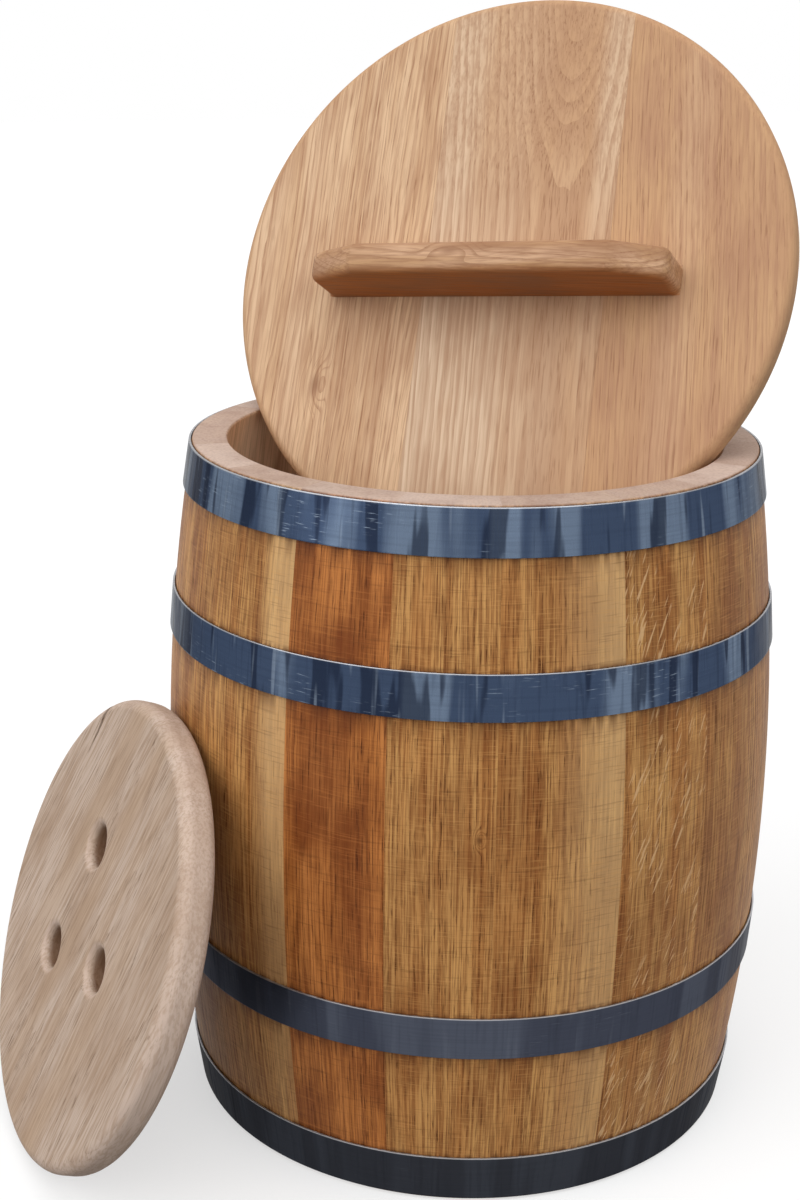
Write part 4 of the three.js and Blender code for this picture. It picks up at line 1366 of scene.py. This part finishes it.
class BARREL_OT_press_board(bpy.types.Operator):
    """Join the press board's three boards and bore its finger holes"""

    bl_idname = "barrel.press_board"
    bl_label = "Press board"

    def execute(self, context):
        sizes = context.scene.barrel_press
        tint = tints(PRESS_SHADES, context.scene.barrel_finishes.press)
        places = self.hole_places(sizes)
        wide = sizes.hole_radius + sizes.hole_lip
        cutters = [(self.finger_hole(sizes, x, y), x, wide) for x, y in places]
        cutters.append((self.drying_crack(sizes), CRACK[0][0] * MM, 0))
        bored = [(x, y, sizes.hole_radius + BORED_LIP * sizes.hole_lip) for x, y in places]
        pieces = boards(PRESS_BOARDS, sizes, PRESS_LOGS, PRESS_STRIPES, cutters, holes=bored)
        for number, node, mesh in pieces:
            material = oak(f"raw_oak_{node}", tint, {**PRESS_LOOK, "seed": PRESS_SEED + number})
            dressed(f"oak_{node}", mesh, material, "press_board", [node])
        return {"FINISHED"}

    def hole_places(self, sizes):
        """Places of the finger holes, evenly round their ring."""
        turns = [sizes.ring_turn + 2 * math.pi * hole / FINGER_HOLES for hole in range(FINGER_HOLES)]
        radius = sizes.ring_radius
        return [(sizes.ring_shift + radius * math.cos(turn), radius * math.sin(turn)) for turn in turns]

    def finger_hole(self, sizes, x, y):
        """Cutter for one finger hole with rounded lips."""
        lip = sizes.hole_lip
        wide = sizes.hole_radius + lip
        top = sizes.thickness
        points = [(wide, -MM)]
        points += arc(wide, lip, lip, 270, 180, HOLE_LIP_STEPS)
        wall = np.linspace(lip, top - lip, HOLE_WALL_POINTS)
        points += [(sizes.hole_radius, height) for height in wall[1:-1]]
        points += arc(wide, top - lip, lip, 180, 90, HOLE_LIP_STEPS)
        points.append((wide, top + MM))
        mesh = turned(points, HOLE_CORNERS)
        mesh.transform(Matrix.Translation((x, y, 0)))
        return mesh

    def drying_crack(self, sizes):
        """Cutter for the crack that drying opened along the grain, from the edge inwards."""
        outline = [(x * MM, y * MM) for x, y in CRACK]
        return prism(outline, sizes.thickness - CRACK_DEPTH, sizes.thickness + MM)


# Grain of the head runs along Y, and the centre of its log lies beside the boards and under them.
HEAD_GRAIN = {"Location": (0.19, -0.03, 0.0), "Rotation": (math.pi / 2, 0, 0)}


class BARREL_OT_inner_pieces(bpy.types.Operator):
    """Finish the bottom head, the dowels and the screws, whose shapes come from the frame"""

    bl_idname = "barrel.inner_pieces"
    bl_label = "Head, dowels and screws"

    def execute(self, context):
        tint = tints(HEAD_SHADES, context.scene.barrel_finishes.head)
        # Beech has the same colour here, with hardly any rings.
        beech = oak("turned_beech_dowel", tint, {"seed": 21.0, "rings": 0.1}, HEAD_GRAIN)
        finishes = {
            "head_board": oak("planed_oak_head", tint, {"seed": 20.0, "roughness": 0.7}, HEAD_GRAIN),
            "head_dowel": beech,
            "lid_dowel": beech,
            "press_dowel": beech,
            "handle_screw": worked_steel(
                "stainless_screw_steel", "#9a9da0", "#c3c5c8", grit_mm=0.6, roughness=0.25),
        }
        for node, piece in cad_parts.items():
            for start, material in finishes.items():
                if node.startswith(start):
                    piece.data.materials.clear()
                    piece.data.materials.append(material)
        return {"FINISHED"}


# Camera of the photograph: where it stands round the barrel's axis, and how it is aimed.
CAMERA_TURN = math.radians(-26.7)
CAMERA_DISTANCE = 1.2488
CAMERA_HEIGHT = 0.756
CAMERA_YAW = math.radians(-2.29)
CAMERA_PITCH = math.radians(17.66)
CAMERA_ROLL = math.radians(0.72)
FOCAL_PIXELS = 1842.1
PHOTO_HEIGHT = 1200
SENSOR = 36.0
# Lamps: name, strength, how broad they are in degrees, and which way they shine.
LAMPS = (
    ("broad_lamp", 2.2, 95, (0.2, 0.62, -1.0)),
    ("left_lamp", 1.0, 60, (1.0, 0.1, -0.55)),
    ("back_lamp", 0.65, 120, (-0.45, -0.6, -0.35)),
)
WHITE = (1, 1, 1, 1)
# Half the side of the floor, and its thickness.
FLOOR_REACH = 12.0
FLOOR_THICKNESS = 0.02
# Grey that the floor throws back, grey and glow that are seen of it, and strength of the surround.
PAVING = (0.17, 0.17, 0.17, 1)
SHADOWED = (0.45, 0.45, 0.45, 1)
GLOW = 0.56
AMBIENT = 0.32


class BARREL_OT_stage(bpy.types.Operator):
    """Set up the floor, the soft light and the camera"""

    bl_idname = "barrel.stage"
    bl_label = "Stage"

    def execute(self, context):
        scene = context.scene
        scene.view_settings.view_transform = "Standard"
        self.floor()
        self.light(scene)
        self.camera(scene)
        return {"FINISHED"}

    def seen_directly(self, put):
        """One for rays from the camera, from metal and through glass, and zero for the rest."""
        path = put("ShaderNodeLightPath")
        seen = path["Is Camera Ray"]
        for ray in ("Is Glossy Ray", "Is Transmission Ray"):
            seen = put("ShaderNodeMath", (seen, path[ray]), operation="MAXIMUM")[0]
        return seen

    def floor(self):
        """Pale floor that looks white, keeps the shadow, and throws back no more light than grey paving."""
        sides = ((-1, -1), (1, -1), (1, 1), (-1, 1))
        mesh = prism([(FLOOR_REACH * x, FLOOR_REACH * y) for x, y in sides], -FLOOR_THICKNESS, 0)
        material, put = new_material("matt_floor_paper")
        paving = put("ShaderNodeBsdfDiffuse", {"Color": PAVING})[0]
        shadowed = put("ShaderNodeBsdfDiffuse", {"Color": SHADOWED})[0]
        glow = put("ShaderNodeEmission", {"Color": WHITE, "Strength": GLOW})[0]
        white = put("ShaderNodeAddShader", (shadowed, glow))[0]
        surface = put("ShaderNodeMixShader", (self.seen_directly(put), paving, white))[0]
        put("ShaderNodeOutputMaterial", {"Surface": surface})
        mesh.materials.append(material)
        link("floor", mesh)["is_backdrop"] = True

    def light(self, scene):
        """Even pale surround, a broad lamp from above in front, and weaker ones from the left and behind."""
        world = bpy.data.worlds.new("pale_surround")
        scene.world = world
        world.use_nodes = True
        world.node_tree.nodes.clear()
        put = partial(add, world.node_tree)
        ambient = put("ShaderNodeBackground", {"Color": WHITE, "Strength": AMBIENT})[0]
        white = put("ShaderNodeBackground", {"Color": WHITE, "Strength": 1.0})[0]
        surface = put("ShaderNodeMixShader", (self.seen_directly(put), ambient, white))[0]
        put("ShaderNodeOutputWorld", {"Surface": surface})
        for name, energy, spread, aim in LAMPS:
            lamp = bpy.data.lights.new(name, "SUN")
            lamp.energy = energy
            lamp.angle = math.radians(spread)
            holder = link(name, lamp)
            holder.rotation_euler = Vector(aim).to_track_quat("-Z", "Y").to_euler()

    def camera(self, scene):
        """Camera at the photograph's viewing angle."""
        data = bpy.data.cameras.new("photograph")
        data.sensor_width = SENSOR
        data.lens = FOCAL_PIXELS * SENSOR / PHOTO_HEIGHT
        turn = Matrix.Rotation(CAMERA_TURN, 3, "Z")
        forward = Vector((
            math.sin(CAMERA_YAW) * math.cos(CAMERA_PITCH), math.cos(CAMERA_YAW) * math.cos(CAMERA_PITCH),
            -math.sin(CAMERA_PITCH)))
        level = Vector((math.cos(CAMERA_YAW), -math.sin(CAMERA_YAW), 0))
        upward = level.cross(forward)
        right = math.cos(CAMERA_ROLL) * level + math.sin(CAMERA_ROLL) * upward
        above = math.cos(CAMERA_ROLL) * upward - math.sin(CAMERA_ROLL) * level
        aim = Matrix((turn @ right, turn @ above, turn @ -forward)).transposed().to_4x4()
        place = BARREL_AXIS + turn @ Vector((0, -CAMERA_DISTANCE, CAMERA_HEIGHT))
        camera = link("photograph", data)
        camera.matrix_world = Matrix.Translation(place) @ aim
        scene.camera = camera


OPERATORS = (
    BARREL_OT_stage, BARREL_OT_staves, BARREL_OT_hoops, BARREL_OT_rivets, BARREL_OT_inner_pieces,
    BARREL_OT_lid, BARREL_OT_handle, BARREL_OT_press_board,
)
GROUPS = {
    "barrel_staves": StaveSizes,
    "barrel_hoops": HoopSizes,
    "barrel_lid": LidSizes,
    "barrel_press": PressSizes,
    "barrel_finishes": Finishes,
}


class BARREL_PT_panel(bpy.types.Panel):
    """Sizes, colours and steps of the barrel"""

    bl_idname = "BARREL_PT_panel"
    bl_label = "Sauerkraut barrel"
    bl_space_type = "VIEW_3D"
    bl_region_type = "UI"
    bl_category = "Barrel"

    def draw(self, context):
        for operator in OPERATORS:
            self.layout.operator(operator.bl_idname)
        for name in GROUPS:
            group = getattr(context.scene, name)
            box = self.layout.box()
            for size in group.__annotations__:
                box.prop(group, size)


def register():
    """Registers the property groups, the operators and the panel."""
    for name, group in GROUPS.items():
        bpy.utils.register_class(group)
        setattr(bpy.types.Scene, name, PointerProperty(type=group))
    for kind in (*OPERATORS, BARREL_PT_panel):
        bpy.utils.register_class(kind)


def unregister():
    """Takes back what register added."""
    for kind in (BARREL_PT_panel, *reversed(OPERATORS)):
        bpy.utils.unregister_class(kind)
    for name, group in GROUPS.items():
        delattr(bpy.types.Scene, name)
        bpy.utils.unregister_class(group)


def main():
    """Builds the stage and every piece."""
    register()
    bpy.ops.barrel.stage()
    bpy.ops.barrel.staves()
    bpy.ops.barrel.hoops()
    bpy.ops.barrel.rivets()
    bpy.ops.barrel.inner_pieces()
    bpy.ops.barrel.lid()
    bpy.ops.barrel.handle()
    bpy.ops.barrel.press_board()
    boxes = {"cad": CAD_BOX, "visual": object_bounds()}
    {name: [list(corner) for corner in box] for name, box in boxes.items()}


if __name__ == "__main__":
    main()
